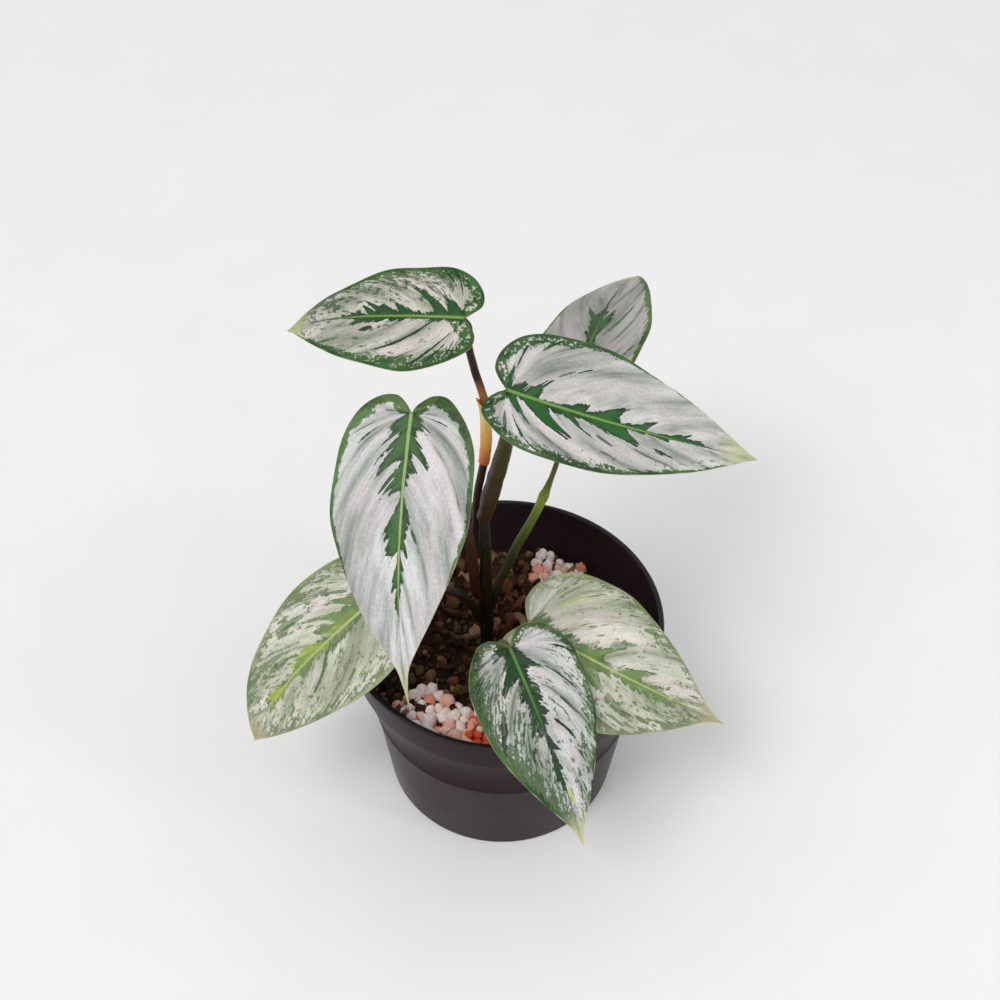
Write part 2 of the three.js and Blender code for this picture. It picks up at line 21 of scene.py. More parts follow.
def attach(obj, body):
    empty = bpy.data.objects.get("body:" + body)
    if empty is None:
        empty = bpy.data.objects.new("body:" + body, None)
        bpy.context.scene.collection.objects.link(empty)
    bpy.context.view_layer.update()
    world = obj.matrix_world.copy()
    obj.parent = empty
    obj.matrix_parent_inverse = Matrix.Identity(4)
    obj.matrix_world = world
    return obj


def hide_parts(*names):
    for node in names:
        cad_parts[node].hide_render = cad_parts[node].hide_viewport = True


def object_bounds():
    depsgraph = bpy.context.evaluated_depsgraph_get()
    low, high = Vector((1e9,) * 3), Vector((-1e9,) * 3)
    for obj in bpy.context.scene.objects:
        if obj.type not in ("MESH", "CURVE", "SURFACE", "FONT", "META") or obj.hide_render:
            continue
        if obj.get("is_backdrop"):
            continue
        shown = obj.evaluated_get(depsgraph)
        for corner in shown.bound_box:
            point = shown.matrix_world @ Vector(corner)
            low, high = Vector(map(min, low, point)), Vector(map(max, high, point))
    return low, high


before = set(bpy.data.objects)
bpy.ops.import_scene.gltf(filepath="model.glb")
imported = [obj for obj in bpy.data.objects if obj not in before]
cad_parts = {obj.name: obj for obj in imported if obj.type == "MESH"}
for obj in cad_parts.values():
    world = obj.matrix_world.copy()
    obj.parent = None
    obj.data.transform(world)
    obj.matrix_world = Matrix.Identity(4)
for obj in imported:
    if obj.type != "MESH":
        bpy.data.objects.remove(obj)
CAD_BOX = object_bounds()

LOG = logging.getLogger("plant")
MM = 0.001
WELD = 2e-5

Colour = tuple[float, float, float, float]
Line = tuple[tuple[float, float], ...]
Stops = tuple[tuple[float, Colour], ...]


def paint(red: int, green: int, blue: int) -> Colour:
    """Turn a screen colour, from 0 to 255, into the linear colour that a shader takes."""
    linear = [
        c / 12.92 if c <= 0.04045 else ((c + 0.055) / 1.055) ** 2.4
        for c in (red / 255, green / 255, blue / 255)
    ]
    return (*linear, 1.0)


def shades(*rows: tuple[float, int, int, int]) -> Stops:
    """Return a line of colours from rows of place, red, green and blue."""
    return tuple((place, paint(*colour)) for place, *colour in rows)


def lerp(low: float, high: float, share: float) -> float:
    """Return the value a share of the way from low to high."""
    return low + (high - low) * share


def stepped(points: Line, at: float) -> float:
    """Read a line of (position, value) points that is straight between them and level beyond."""
    places, values = zip(*points)
    return float(np.interp(at, places, values))


# Shader building


class Value:
    """A number, vector or colour that runs through a tree's nodes, with the usual arithmetic."""

    def __init__(self, wiring: "Wiring", socket: bpy.types.NodeSocket) -> None:
        """Keep the socket that gives the value, and the wiring that places nodes beside it."""
        self.wiring = wiring
        self.socket = socket

    def __add__(self, other: "Source") -> "Value":
        """Return the sum."""
        return self.wiring.math("ADD", self, other)

    def __sub__(self, other: "Source") -> "Value":
        """Return the difference."""
        return self.wiring.math("SUBTRACT", self, other)

    def __rsub__(self, other: "Source") -> "Value":
        """Return the difference from a plain number."""
        return self.wiring.math("SUBTRACT", other, self)

    def __mul__(self, other: "Source") -> "Value":
        """Return the product."""
        return self.wiring.math("MULTIPLY", self, other)

    def __truediv__(self, other: "Source") -> "Value":
        """Return the quotient."""
        return self.wiring.math("DIVIDE", self, other)

    def __rtruediv__(self, other: "Source") -> "Value":
        """Return a plain number divided by the value."""
        return self.wiring.math("DIVIDE", other, self)

    def __abs__(self) -> "Value":
        """Return the value without its sign."""
        return self.wiring.math("ABSOLUTE", self)

    def clamped(self) -> "Value":
        """Hold the Math node's result between 0 and 1."""
        self.socket.node.use_clamp = True
        return self


Source = float | Sequence[float] | Value


class Wiring:
    """Places shader nodes in one tree and joins them."""

    def __init__(self, tree: bpy.types.NodeTree) -> None:
        """Keep the tree that the nodes go into."""
        self.tree = tree

    def fill(self, sockets: bpy.types.NodeInputs, values: dict[str | int, Source]) -> None:
        """Join each value to the socket of its name, or set that socket to a plain one."""
        for key, value in values.items():
            if isinstance(value, Value):
                self.tree.links.new(value.socket, sockets[key])
            else:
                sockets[key].default_value = value

    def node(
        self, kind: str, inputs: dict[str | int, Source] | None = None, **settings: object
    ) -> bpy.types.Node:
        """Add one node.

        Args:
            kind: the shader node's type after its common prefix.
            inputs: what goes into each named input.
            settings: the node's own settings.

        Returns:
            The new node.
        """
        made = self.tree.nodes.new(f"ShaderNode{kind}")
        for name, value in settings.items():
            setattr(made, name, value)
        self.fill(made.inputs, inputs or {})
        return made

    def value(
        self,
        kind: str,
        inputs: dict[str | int, Source] | None = None,
        output: str | int = 0,
        **settings: object,
    ) -> Value:
        """Add one node and return one of its outputs."""
        return Value(self, self.node(kind, inputs, **settings).outputs[output])

    def group(self, tree: bpy.types.NodeTree, inputs: dict[str, Source]) -> dict[str, Value]:
        """Place a node group and return its outputs by name."""
        made = self.node("Group", node_tree=tree)
        self.fill(made.inputs, inputs)
        return {socket.name: Value(self, socket) for socket in made.outputs}

    def uneven(
        self, cloud: float, grain: float, stretch: tuple[float, float, float] = (1.0, 1.0, 1.0)
    ) -> dict[str, Value]:
        """Place the uneven surface, with the sizes of its clouds and grain in mm."""
        inputs = {"Cloud Size": cloud, "Grain Size": grain, "Stretch": stretch}
        return self.group(Groups.uneven, inputs)

    def math(self, operation: str, *values: Source) -> Value:
        """Add a Math node and return its result."""
        return self.value("Math", dict(enumerate(values)), operation=operation)

    def mask(self, value: Source, low: Source, high: Source) -> Value:
        """Return 0 below low and 1 above high, with a soft step between them."""
        inputs = {0: value, 1: low, 2: high}
        return self.value("MapRange", inputs, interpolation_type="SMOOTHSTEP")

    def mix(self, factor: Source, first: Source, second: Source) -> Value:
        """Return the colour a share of the way from the first to the second."""
        return self.value("Mix", {0: factor, 6: first, 7: second}, 2, data_type="RGBA")

    def vector(self, x: Source, y: Source, z: Source) -> Value:
        """Join three values into a vector."""
        return self.value("CombineXYZ", {0: x, 1: y, 2: z})

    def parts(self, vector: Source) -> list[Value]:
        """Split a vector into its three values."""
        return [Value(self, socket) for socket in self.node("SeparateXYZ", {0: vector}).outputs]

    def noise(
        self, vector: Source, scale: Source = 1.0, detail: float = 3.0, roughness: float = 0.5
    ) -> Value:
        """Return noise between 0 and 1 at a vector."""
        inputs = {"Vector": vector, "Scale": scale, "Detail": detail, "Roughness": roughness}
        return self.value("TexNoise", inputs)

    def bump(self, height: Value, depth: float, strength: float = 1.0) -> Value:
        """Return the normal of a height, with the depth in mm."""
        return self.value("Bump", {"Height": height, "Distance": depth * MM, "Strength": strength})

    def ramp(self, value: Source, stops: Stops) -> Value:
        """Return a colour from a line of colours."""
        made = self.node("ValToRGB", {0: value})
        elements = made.color_ramp.elements
        for index, (place, colour) in enumerate(stops):
            element = elements[index] if index < 2 else elements.new(place)
            element.position = place
            element.color = colour
        return Value(self, made.outputs[0])

    def curve(self, value: Source, points: Line, top: float) -> Value:
        """Return a height read from a smooth curve.

        Args:
            value: where the curve is read, from 0 to 1.
            points: pairs of position and height.
            top: a height that none is above, by which the stored heights are divided.

        Returns:
            The height there.
        """
        made = self.node("FloatCurve", {1: value})
        line = made.mapping.curves[0]
        for index, (place, height) in enumerate(points):
            if index < 2:
                line.points[index].location = (place, height / top)
            else:
                line.points.new(place, height / top)
        for point in line.points:
            point.handle_type = "AUTO_CLAMPED"
        made.mapping.update()
        return Value(self, made.outputs[0]) * top


def new_group(
    name: str, inputs: dict[str, str], outputs: Iterable[str]
) -> tuple[Wiring, dict[str, Value], bpy.types.NodeInputs]:
    """Start a shader node group that several materials share.

    Args:
        name: the group's name.
        inputs: each input's name and kind, such as Float or Vector.
        outputs: the outputs' names. Each is a Float.

    Returns:
        The wiring of the group, its inputs as values and its outputs as sockets to fill.
    """
    tree = bpy.data.node_groups.new(name, "ShaderNodeTree")
    for side, sockets in (("INPUT", inputs), ("OUTPUT", dict.fromkeys(outputs, "Float"))):
        for label, kind in sockets.items():
            tree.interface.new_socket(label, in_out=side, socket_type=f"NodeSocket{kind}")
    wiring = Wiring(tree)
    sockets = tree.nodes.new("NodeGroupInput").outputs
    given = {label: Value(wiring, sockets[label]) for label in inputs}
    return wiring, given, tree.nodes.new("NodeGroupOutput").inputs


def uneven_group() -> bpy.types.NodeTree:
    """Build the uneven surface of every plain finish: broad clouds, fine grain, their height."""
    wiring, given, result = new_group(
        "uneven_surface",
        {"Cloud Size": "Float", "Grain Size": "Float", "Stretch": "Vector"},
        ("Cloud", "Grain", "Height"),
    )
    place = wiring.value("TexCoord", output="Object")
    metres = wiring.value("VectorMath", {0: place, 1: given["Stretch"]}, operation="MULTIPLY")
    cloud = wiring.noise(metres, 1.0 / (given["Cloud Size"] * MM), 4.0, 0.6)
    grain = wiring.noise(metres, 1.0 / (given["Grain Size"] * MM), 3.0, 0.55)
    wiring.fill(result, {"Cloud": cloud, "Grain": grain, "Height": cloud * 0.4 + grain * 0.6})
    return wiring.tree


def strand_group() -> bpy.types.NodeTree:
    """Build the strands between the finest veins: each has a random value and a round end."""
    names = ("Along", "Waver", "Side", "Count", "Seed")
    wiring, given, result = new_group(
        "blade_strands", dict.fromkeys(names, "Float"), ("Random", "Round")
    )
    place = given["Along"] * given["Count"] + given["Waver"]
    key = wiring.vector(wiring.math("FLOOR", place), given["Side"], given["Seed"])
    chance = wiring.value("TexWhiteNoise", {0: key}, noise_dimensions="3D")
    off = (wiring.math("FRACT", place) - 0.5) * 2.0
    wiring.fill(result, {"Random": chance, "Round": 1.0 - off * off})
    return wiring.tree


def stroke_group() -> bpy.types.NodeTree:
    """Build the mask of one dark stroke that runs along a vein and narrows to both ends."""
    names = ("Across", "Along", "Ragged", "Vein", "Middle", "Half", "Width", "Strength")
    wiring, given, result = new_group("blade_stroke", dict.fromkeys(names, "Float"), ("Mask",))
    share = (given["Across"] - given["Middle"]) / given["Half"]
    room = (1.0 - share * share).clamped()
    width = given["Width"] * (wiring.math("SQRT", room) + given["Ragged"] * 2.2)
    inside = wiring.mask(width - abs(given["Along"] - given["Vein"]), -0.0012, 0.0012)
    inside = inside * wiring.math("GREATER_THAN", room, 0.0)
    wiring.fill(result, {"Mask": inside * given["Strength"]})
    return wiring.tree


def marking_group() -> bpy.types.NodeTree:
    """Build the masks of a silver blade, which follow the side veins.

    Veins holds (across + 1) / 2 and the vein's number from 0 at the notch to 1 at the tip.
    Blade holds the distance from the midrib in mm, the share of the length and the distance to the
    edge in mm. Reach is how far the dark heart goes out along a vein, as a share of the vein.
    """
    names = ("Reach", "Margin", "Mottle", "Islands", "Broken", "Seed")
    masks = ("Heart", "Margin", "Fleck", "Dash", "Fold", "Crease", "Midrib", "Tip", "Rim")
    masks += ("Tone", "Blush", "Grain", "Ragged", "Depth", "Height")
    wiring, given, result = new_group(
        "blade_marking",
        {"Veins": "Vector", "Blade": "Vector", **dict.fromkeys(names, "Float")},
        masks,
    )
    mask = wiring.mask
    sideways, along, _ = wiring.parts(given["Veins"])
    out, share, edge = wiring.parts(given["Blade"])
    across = (sideways - 0.5) * 2.0
    far = abs(across)
    side = wiring.math("GREATER_THAN", across, 0.0)
    seed, mottle, broken = given["Seed"], given["Mottle"], given["Broken"]

    def place(outward: float, around: float, shift: Source = 0.0) -> Value:
        """Return a place that is measured along the veins and between them."""
        return wiring.vector(across * outward + shift, along * around + shift, seed)

    def streaks(outward: float, around: float) -> Value:
        """Return noise that is long along the veins and narrow between them."""
        return wiring.noise(place(outward, around), 1.0, 2.0)

    def strands(count: float, outward: float) -> tuple[Value, Value]:
        """Return the random value and the round end of each strand."""
        waver = (streaks(outward, count * 0.4) - 0.5) * 1.5
        inputs = {"Along": along, "Waver": waver, "Side": side, "Count": count, "Seed": seed}
        made = wiring.group(Groups.strand, inputs)
        return made["Random"], made["Round"]

    spot = wiring.value("TexCoord", output="Object")
    broad, feather, hair = streaks(2.0, 15.0), streaks(4.5, 60.0), streaks(6.0, 170.0)
    cloud = wiring.noise(spot, 240.0, 2.0)
    blotch = wiring.noise(spot, 520.0, 4.0, 0.65)
    speck = wiring.noise(spot, 1300.0, 2.0)
    pepper = wiring.noise(spot, 2400.0, 1.0)
    cells = {"Vector": place(12.0, 110.0, (blotch - 0.5) * 1.6), "Scale": 1.0}
    small = wiring.parts(wiring.value("TexVoronoi", cells, "Color"))
    coarse, _ = strands(26.0, 2.0)
    fine, rounded = strands(84.0, 3.0)
    spread = mask(abs(out) + abs(share * 80.0), 5.0, 22.0)

    # The dark heart: tongues along the veins whose ends are feathered strand by strand
    ragged = (coarse - 0.5) * 0.1 + (fine - 0.5) * 0.1 + (rounded - 0.66) * 0.06
    ragged = ragged + (cloud - 0.5) * 0.16 + (blotch - 0.5) * 0.26
    reach = given["Reach"] + ragged * (given["Reach"] * 5.0).clamped()
    depth = reach - far
    gaps = small[0] * 0.5 + (feather - 0.25) * 0.9 + (speck - 0.5) * 0.6 - depth * 0.8
    gaps = mask(gaps, 1.0 - broken * 0.7, 1.02) * (broken * spread)
    heart = mask(depth, -0.01, 0.01) * (1.0 - gaps).clamped()

    # The green margin, with silver fields left in it
    uneven = (broad - 0.5) * 1.2 + (cloud - 0.5) * 3.4 + (blotch - 0.5) * 3.6 + (speck - 0.5) * 1.2
    uneven = uneven + (fine - 0.5) * (spread * 0.8) + (small[1] - 0.5) * (mottle * (spread * 1.8))
    width = given["Margin"] + uneven * (given["Margin"] * 0.4).clamped()
    spared = mask((blotch * 1.1 + speck * 0.8) * mottle, 1.0, 1.05) * mask(edge, 0.7, 1.1)
    margin = mask(width - edge, -0.12, 0.12) * (1.0 - spared)

    # Islands of green among the silver, densest near the margin
    limit = given["Islands"] * (1.3 / (edge * 0.4 + 1.0) + 0.3)
    fleck = small[2] * 0.36 + speck * 0.34 + blotch * 0.7 + limit * 0.4
    fleck = mask(fleck, 1.04, 1.1) * spread

    # Fine dark dashes, painted shade in the soft folds over the side veins, and creases over them
    dash = mask(feather + (hair - 0.5) * 0.5, 0.6, 0.74) * spread
    off = abs(wiring.math("FRACT", along * Leaf.SIDE_VEINS) - 0.5)
    fold = (1.0 - mask(off, 0.0, 0.3)) * mask(broad, 0.35, 0.65) * spread
    crease = (1.0 - mask(off, 0.01, 0.06)) * mask(feather + broad, 0.95, 1.15) * spread

    half_width = (1.0 - share) * 0.44 + hair * 0.25 - 0.06
    # Tone: partly the silver's own random tone, partly painted shade and highlight along the veins
    tone = (streaks(1.2, 9.0) - 0.5) * 2.5 + (feather - 0.5) * (spread * 0.7)
    tone = tone + (hair - 0.5) * (spread * 0.8) + (fine - 0.5) * (spread * 0.16)
    tone = tone + (speck - 0.5) * 0.5 + spread * -0.12 + 0.7
    made = (
        heart, margin, fleck, dash, fold, crease,
        mask(half_width - abs(out), -0.14, 0.14),
        mask(share + (blotch - 0.5) * 0.08, 0.8, 0.95),
        1.0 - mask(edge, 0.06, 0.3),
        tone,
        mask(streaks(2.6, 13.0) + (small[1] - 0.5) * 0.16, 0.4, 0.64),
        pepper,
        (fine - 0.5) * 0.5 + (blotch - 0.5) * 1.2,
        depth,
        pepper * 0.6 + hair * 0.5 - crease * 0.8,
    )
    wiring.fill(result, dict(zip(masks, made)))
    return wiring.tree


class Groups:
    """The shader node groups that the materials share, each built once."""

    uneven: bpy.types.NodeTree
    strand: bpy.types.NodeTree
    stroke: bpy.types.NodeTree
    marking: bpy.types.NodeTree

    @classmethod
    def build(cls) -> None:
        """Build the groups."""
        cls.uneven = uneven_group()
        cls.strand = strand_group()
        cls.stroke = stroke_group()
        cls.marking = marking_group()


def new_material(name: str) -> tuple[bpy.types.Material, Wiring, bpy.types.NodeInputs]:
    """Start a material, and return it with its wiring and its surface's inputs."""
    made = bpy.data.materials.new(name)
    made.use_nodes = True
    return made, Wiring(made.node_tree), made.node_tree.nodes["Principled BSDF"].inputs


# Finishes


@dataclass(frozen=True, kw_only=True)
class Finish:
    """A finish of one stuff with an uneven surface.

    Attributes:
        name: the material's name.
        dark: the dark end of its colour.
        roughness: lowest and highest roughness.
        cloud, grain: sizes of its broad and fine unevenness in mm.
        relief: depth of the fine unevenness in mm.
        specular: how strongly it mirrors.
    """

    name: str
    dark: Colour
    roughness: tuple[float, float]
    cloud: float
    grain: float
    relief: float
    specular: float

    def colour(self, wiring: Wiring, uneven: dict[str, Value]) -> Value:
        """Return the colour, which each kind of finish has its own way to find."""
        raise NotImplementedError

    def material(self) -> bpy.types.Material:
        """Build the material."""
        made, wiring, surface = new_material(self.name)
        uneven = wiring.uneven(self.cloud, self.grain)
        low, high = self.roughness
        wiring.fill(
            surface,
            {
                "Base Color": self.colour(wiring, uneven),
                "Roughness": wiring.value(
                    "MapRange", {0: uneven["Cloud"], 1: 0.3, 2: 0.7, 3: low, 4: high}
                ),
                "Normal": wiring.bump(uneven["Height"], self.relief),
                "Specular IOR Level": self.specular,
            },
        )
        return made


@dataclass(frozen=True, kw_only=True)
class PlainFinish(Finish):
    """A finish whose colour runs between two shades."""

    light: Colour

    def colour(self, wiring: Wiring, uneven: dict[str, Value]) -> Value:
        """Return a shade between the two ends."""
        shade = (uneven["Cloud"] - 0.5) * 0.9 + (uneven["Grain"] - 0.5) * 0.9 + 0.5
        return wiring.mix(shade, self.dark, self.light)


@dataclass(frozen=True, kw_only=True)
class GrainFinish(Finish):
    """A finish of loose grains, each with its own shade from the mesh's tone attribute."""

    tones: Stops

    def colour(self, wiring: Wiring, uneven: dict[str, Value]) -> Value:
        """Return each grain's own shade, darker in fine spots."""
        tone = wiring.value("Attribute", output="Fac", attribute_name="tone")
        shade = (uneven["Grain"] - 0.3) * 2.0
        return wiring.mix((shade * 0.45).clamped(), wiring.ramp(tone, self.tones), self.dark)


@dataclass(frozen=True)
class StalkFinish:
    """The skin of a stalk, whose colour changes from its foot up.

    Attributes:
        name: the material's name.
        stops: colours from the foot, 0, to the leaf, 1.
        streak: the colour of the fine lines along it.
        flush: a second colour that shows on one side, if there is one.
        facing: where round the stalk the flush is strongest, from 0 to 1.
        flushed: how strong the flush is.
        roughness: how matt it is.
        glow: how much light passes into it.
    """

    name: str
    stops: Stops
    streak: Colour = paint(60, 38, 22)
    flush: Colour | None = None
    facing: float = 0.5
    flushed: float = 0.0
    roughness: float = 0.42
    glow: float = 0.0

    def material(self) -> bpy.types.Material:
        """Build the material."""
        made, wiring, surface = new_material(self.name)
        around, along, _ = wiring.parts(wiring.value("UVMap", uv_map="skin"))
        uneven = wiring.uneven(5.0, 0.5, (1.0, 1.0, 0.25))
        colour = wiring.ramp(along + (uneven["Cloud"] - 0.5) * 0.12, self.stops)
        if self.flush:
            off = abs(around - self.facing)
            side = 1.0 - wiring.mask(wiring.math("MINIMUM", off, 1.0 - off), 0.05, 0.22)
            colour = wiring.mix(side * self.flushed, colour, self.flush)
        turn = around * math.tau
        ring = wiring.vector(
            wiring.math("COSINE", turn) * 2.2, wiring.math("SINE", turn) * 2.2, along * 5.0
        )
        lines = wiring.noise(ring, 2.6, 3.0, 0.6)
        height = lines * 0.8 + uneven["Grain"] * 0.4
        colour = wiring.mix(wiring.mask(lines, 0.52, 0.74) * 0.6, colour, self.streak)
        wiring.fill(
            surface,
            {
                "Base Color": colour,
                "Normal": wiring.bump(height, 0.25, 0.7),
                "Roughness": self.roughness,
                "Subsurface Weight": self.glow,
                "Subsurface Radius": (1.0, 0.5, 0.2),
                "Subsurface Scale": 2.0 * MM,
                "Specular IOR Level": 0.2,
            },
        )
        return made


class Stroke(NamedTuple):
    """A dark stroke on one half of a blade.

    Attributes:
        vein: the vein that it runs along.
        start, end: where it starts and ends, as shares of the vein.
        width: half its width, in vein numbers.
        strength: how much it covers.
    """

    vein: float
    start: float
    end: float
    width: float
    strength: float = 1.0


def percent(*rows: tuple[float, ...]) -> tuple[tuple[float, ...], ...]:
    """Turn rows of percentages into rows of shares."""
    return tuple(tuple(number / 100 for number in row) for row in rows)


def strokes(*rows: tuple[float, ...]) -> tuple[Stroke, ...]:
    """Return strokes from rows of their values in percent."""
    return tuple(Stroke(*row) for row in percent(*rows))


@dataclass(frozen=True)
class Half:
    """The marking of one half of a blade.

    A vein is named by the share of the midrib where it starts, and those of the lobe, which all
    start at the notch, by -1 at the notch's own edge to 0.

    Attributes:
        islands: how much green lies among the silver.
        creases: how dark the lines over the side veins are.
        margin: the green margin's width in mm, as (vein, width).
        reach: how far the dark heart goes out, as (vein, share of the vein).
        strokes: the dark strokes apart from the heart.
    """

    islands: float
    creases: float
    margin: Line
    reach: Line
    strokes: tuple[Stroke, ...] = ()


@dataclass(frozen=True)
class LeafFinish:
    """Colours and marking of one blade.

    Attributes:
        left, right: the marking of each half.
        silver, blush, shade, fold: its two lit colours, its painted shade and that in its folds.
        crease: the dark lines over the side veins.
        margin, margin_far: the two greens of the margin.
        fleck: the green of the islands and dashes.
        heart, heart_far: the green of the heart, at its edge and well inside it.
        midrib, tip, rim: the midrib, the tip and the thin line round the edge.
        glow: the yellow of the patches that have lost their green.
        glows: those patches, with a negative start and end on the left half.
        cover: how much the heart hides the silver.
        mottle: how broken the margin is.
        broken: how broken the heart is.
        dashes: how strong the fine dark dashes are.
        folds: how strong the painted shade in the folds shows.
        seed: picks this blade's own noise.
        midrib_from, midrib_to: where along the blade the midrib's colour fades.
    """

    left: Half
    right: Half
    silver: Colour = paint(221, 224, 222)
    blush: Colour = paint(227, 218, 222)
    shade: Colour = paint(138, 143, 138)
    fold: Colour = paint(112, 122, 108)
    crease: Colour = paint(60, 78, 52)
    margin: Colour = paint(28, 66, 16)
    margin_far: Colour = paint(82, 116, 58)
    fleck: Colour = paint(80, 108, 66)
    heart: Colour = paint(18, 58, 16)
    heart_far: Colour = paint(54, 96, 42)
    midrib: Colour = paint(146, 172, 112)
    tip: Colour = paint(184, 190, 142)
    rim: Colour = paint(44, 60, 26)
    glow: Colour = paint(176, 184, 70)
    glows: tuple[Stroke, ...] = ()
    cover: float = 0.95
    mottle: float = 0.6
    broken: float = 0.15
    dashes: float = 0.25
    folds: float = 0.6
    seed: float = 0.0
    midrib_from: float = 0.5
    midrib_to: float = 0.8

    MARGIN_TOP = 8.0
    MARGIN_OUT = 0.9

    def material(self, leaf: "Leaf") -> bpy.types.Material:
        """Build the upper face's material.

        Args:
            leaf: the blade, whose outline says where each vein ends.

        Returns:
            The material.
        """
        made, wiring, surface = new_material(f"{leaf.name}_top")
        veins = wiring.value("UVMap", uv_map="veins")
        blade = wiring.value("Attribute", output="Vector", attribute_name="blade")
        sideways, along, _ = wiring.parts(veins)
        across = (sideways - 0.5) * 2.0
        share = wiring.parts(blade)[1]
        on_right = wiring.math("GREATER_THAN", sideways, 0.5)
        halves = ((-1, self.left), (1, self.right))

        def by_side(values: Sequence[Source]) -> Value:
            """Return the value of the half that a point lies on."""
            return wiring.value("Mix", {0: on_right, 2: values[0], 3: values[1]})

        def line(name: str, top: float, out: float = 0.0) -> Value:
            """Return a value that runs along the veins, read off at its own height or at out."""
            curves = []
            for sign, half in halves:
                points = [(leaf.vein_at(v, sign, out or h), h) for v, h in getattr(half, name)]
                curves.append(wiring.curve(along, points, top))
            return by_side(curves)

        masks = wiring.group(
            Groups.marking,
            {
                "Veins": veins,
                "Blade": blade,
                "Reach": line("reach", 1.0),
                "Margin": line("margin", self.MARGIN_TOP, self.MARGIN_OUT),
                "Islands": by_side([half.islands for _, half in halves]),
                "Mottle": self.mottle,
                "Broken": self.broken,
                "Seed": self.seed,
            },
        )
        tone = masks["Tone"]

        def add_strokes(signed: Iterable[tuple[int, Stroke]], start: Source) -> Source:
            """Return a mask with strokes added to it."""
            for sign, stroke in signed:
                middle = (stroke.start + stroke.end) / 2
                inputs = {
                    "Across": across,
                    "Along": along,
                    "Ragged": masks["Ragged"],
                    "Vein": leaf.vein_at(stroke.vein, sign, middle),
                    "Middle": sign * middle,
                    "Half": (stroke.end - stroke.start) / 2,
                    "Width": stroke.width,
                    "Strength": stroke.strength,
                }
                start = wiring.math("MAXIMUM", start, wiring.group(Groups.stroke, inputs)["Mask"])
            return start

        dark = [(sign, stroke) for sign, half in halves for stroke in half.strokes]
        heart = add_strokes(dark, masks["Heart"])
        inner = wiring.mask(masks["Depth"], 0.02, 0.16) * ((tone + 0.25) * 1.2)
        green = wiring.mix(inner.clamped(), self.heart, self.heart_far)
        green = wiring.mix(masks["Dash"] * 0.5, green, self.heart)
        cover = (tone - 0.4) * (1 - self.cover) + self.cover
        creases = by_side([half.creases for _, half in halves])
        layers = [
            # painted shade in the folds over the side veins
            (masks["Fold"] * self.folds, self.fold),
            ((masks["Grain"] - 0.3) * 0.6, self.fold),
            (masks["Crease"] * creases, self.crease),
            (masks["Dash"] * self.dashes, self.fleck),
            (masks["Fleck"] * 0.85, self.fleck),
            (masks["Margin"] * 0.96, wiring.mix((tone - 0.2) * 1.6, self.margin, self.margin_far)),
            ((heart * cover).clamped(), green),
        ]
        if self.glows:
            layers.append((add_strokes([(1, glow) for glow in self.glows], 0.0) * tone, self.glow))
        fade = wiring.mask(share, self.midrib_to, self.midrib_from)
        rim = wiring.mix(wiring.mask(share, 0.3, 0.6), self.rim, self.tip)
        layers += [
            (masks["Tip"] * 0.85, self.tip),
            (masks["Midrib"] * fade, self.midrib),
            (masks["Rim"] * 0.8, rim),
        ]
        # The silver: its lit colours where the tone is high, painted shade where it is low
        colour = wiring.mix(masks["Blush"], self.silver, self.blush)
        colour = wiring.mix(tone, self.shade, colour)
        for strength, layer in layers:
            colour = wiring.mix(strength, colour, layer)
        wiring.fill(
            surface,
            {
                "Base Color": colour,
                "Roughness": wiring.value("MapRange", {0: tone, 3: 0.42, 4: 0.54}),
                "Normal": wiring.bump(masks["Height"], 0.12),
                "Specular IOR Level": 0.25,
            },
        )
        return made


def underside() -> bpy.types.Material:
    """Build the blades' underside: pale green with a lighter midrib and a reddish flush."""
    made, wiring, surface = new_material("leaf_underside")
    along = wiring.parts(wiring.value("UVMap", uv_map="veins"))[1]
    out = wiring.parts(wiring.value("Attribute", output="Vector", attribute_name="blade"))[0]
    off = abs(wiring.math("FRACT", along * Leaf.SIDE_VEINS) - 0.5)
    line = 1.0 - wiring.mask(off, 0.02, 0.14)
    uneven = wiring.uneven(14.0, 0.9)
    colour = wiring.mix(uneven["Cloud"], paint(150, 150, 118), paint(120, 140, 104))
    colour = wiring.mix(uneven["Grain"] * 0.5, colour, paint(150, 120, 104))
    colour = wiring.mix(line * 0.4, colour, paint(172, 166, 128))
    colour = wiring.mix(1.0 - wiring.mask(abs(out), 0.4, 1.1), colour, paint(182, 176, 120))
    bump = wiring.bump(uneven["Height"], 0.12)
    wiring.fill(surface, {"Base Color": colour, "Normal": bump, "Roughness": 0.5})
    return made


# Meshes


def to_mesh(name: str, shape: bmesh.types.BMesh) -> bpy.types.Mesh:
    """Turn a finished bmesh into a mesh, and free it."""
    mesh = bpy.data.meshes.new(name)
    shape.to_mesh(mesh)
    shape.free()
    return mesh


def to_scene(name: str, data: bpy.types.ID) -> bpy.types.Object:
    """Put a new object with this data at the origin of the scene."""
    made = bpy.data.objects.new(name, data)
    bpy.context.scene.collection.objects.link(made)
    return made


def to_piece(
    name: str,
    shape: bmesh.types.BMesh,
    materials: Iterable[bpy.types.Material],
    slot: str,
    node: str = "",
    sharp: float = 40.0,
) -> bpy.types.Object:
    """Turn a finished bmesh into a piece that rides on the part's body.

    Args:
        name: the piece's name.
        shape: the mesh, in metres, which is freed.
        materials: its materials in slot order.
        slot: the record's material slot; it is not used.
        node: the solid that it stands for, if there is one.
        sharp: edges that turn by more than this many degrees stay sharp.

    Returns:
        The piece.
    """
    mesh = to_mesh(name, shape)
    for material in materials:
        mesh.materials.append(material)
    mesh.shade_smooth()
    mesh.set_sharp_from_angle(angle=math.radians(sharp))
    piece = to_scene(name, mesh)
    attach(piece, "root")
    if node:
        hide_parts(node)
    return piece


def weld(shape: bmesh.types.BMesh) -> None:
    """Merge the mesh's doubles."""
    bmesh.ops.remove_doubles(shape, verts=list(shape.verts), dist=WELD)


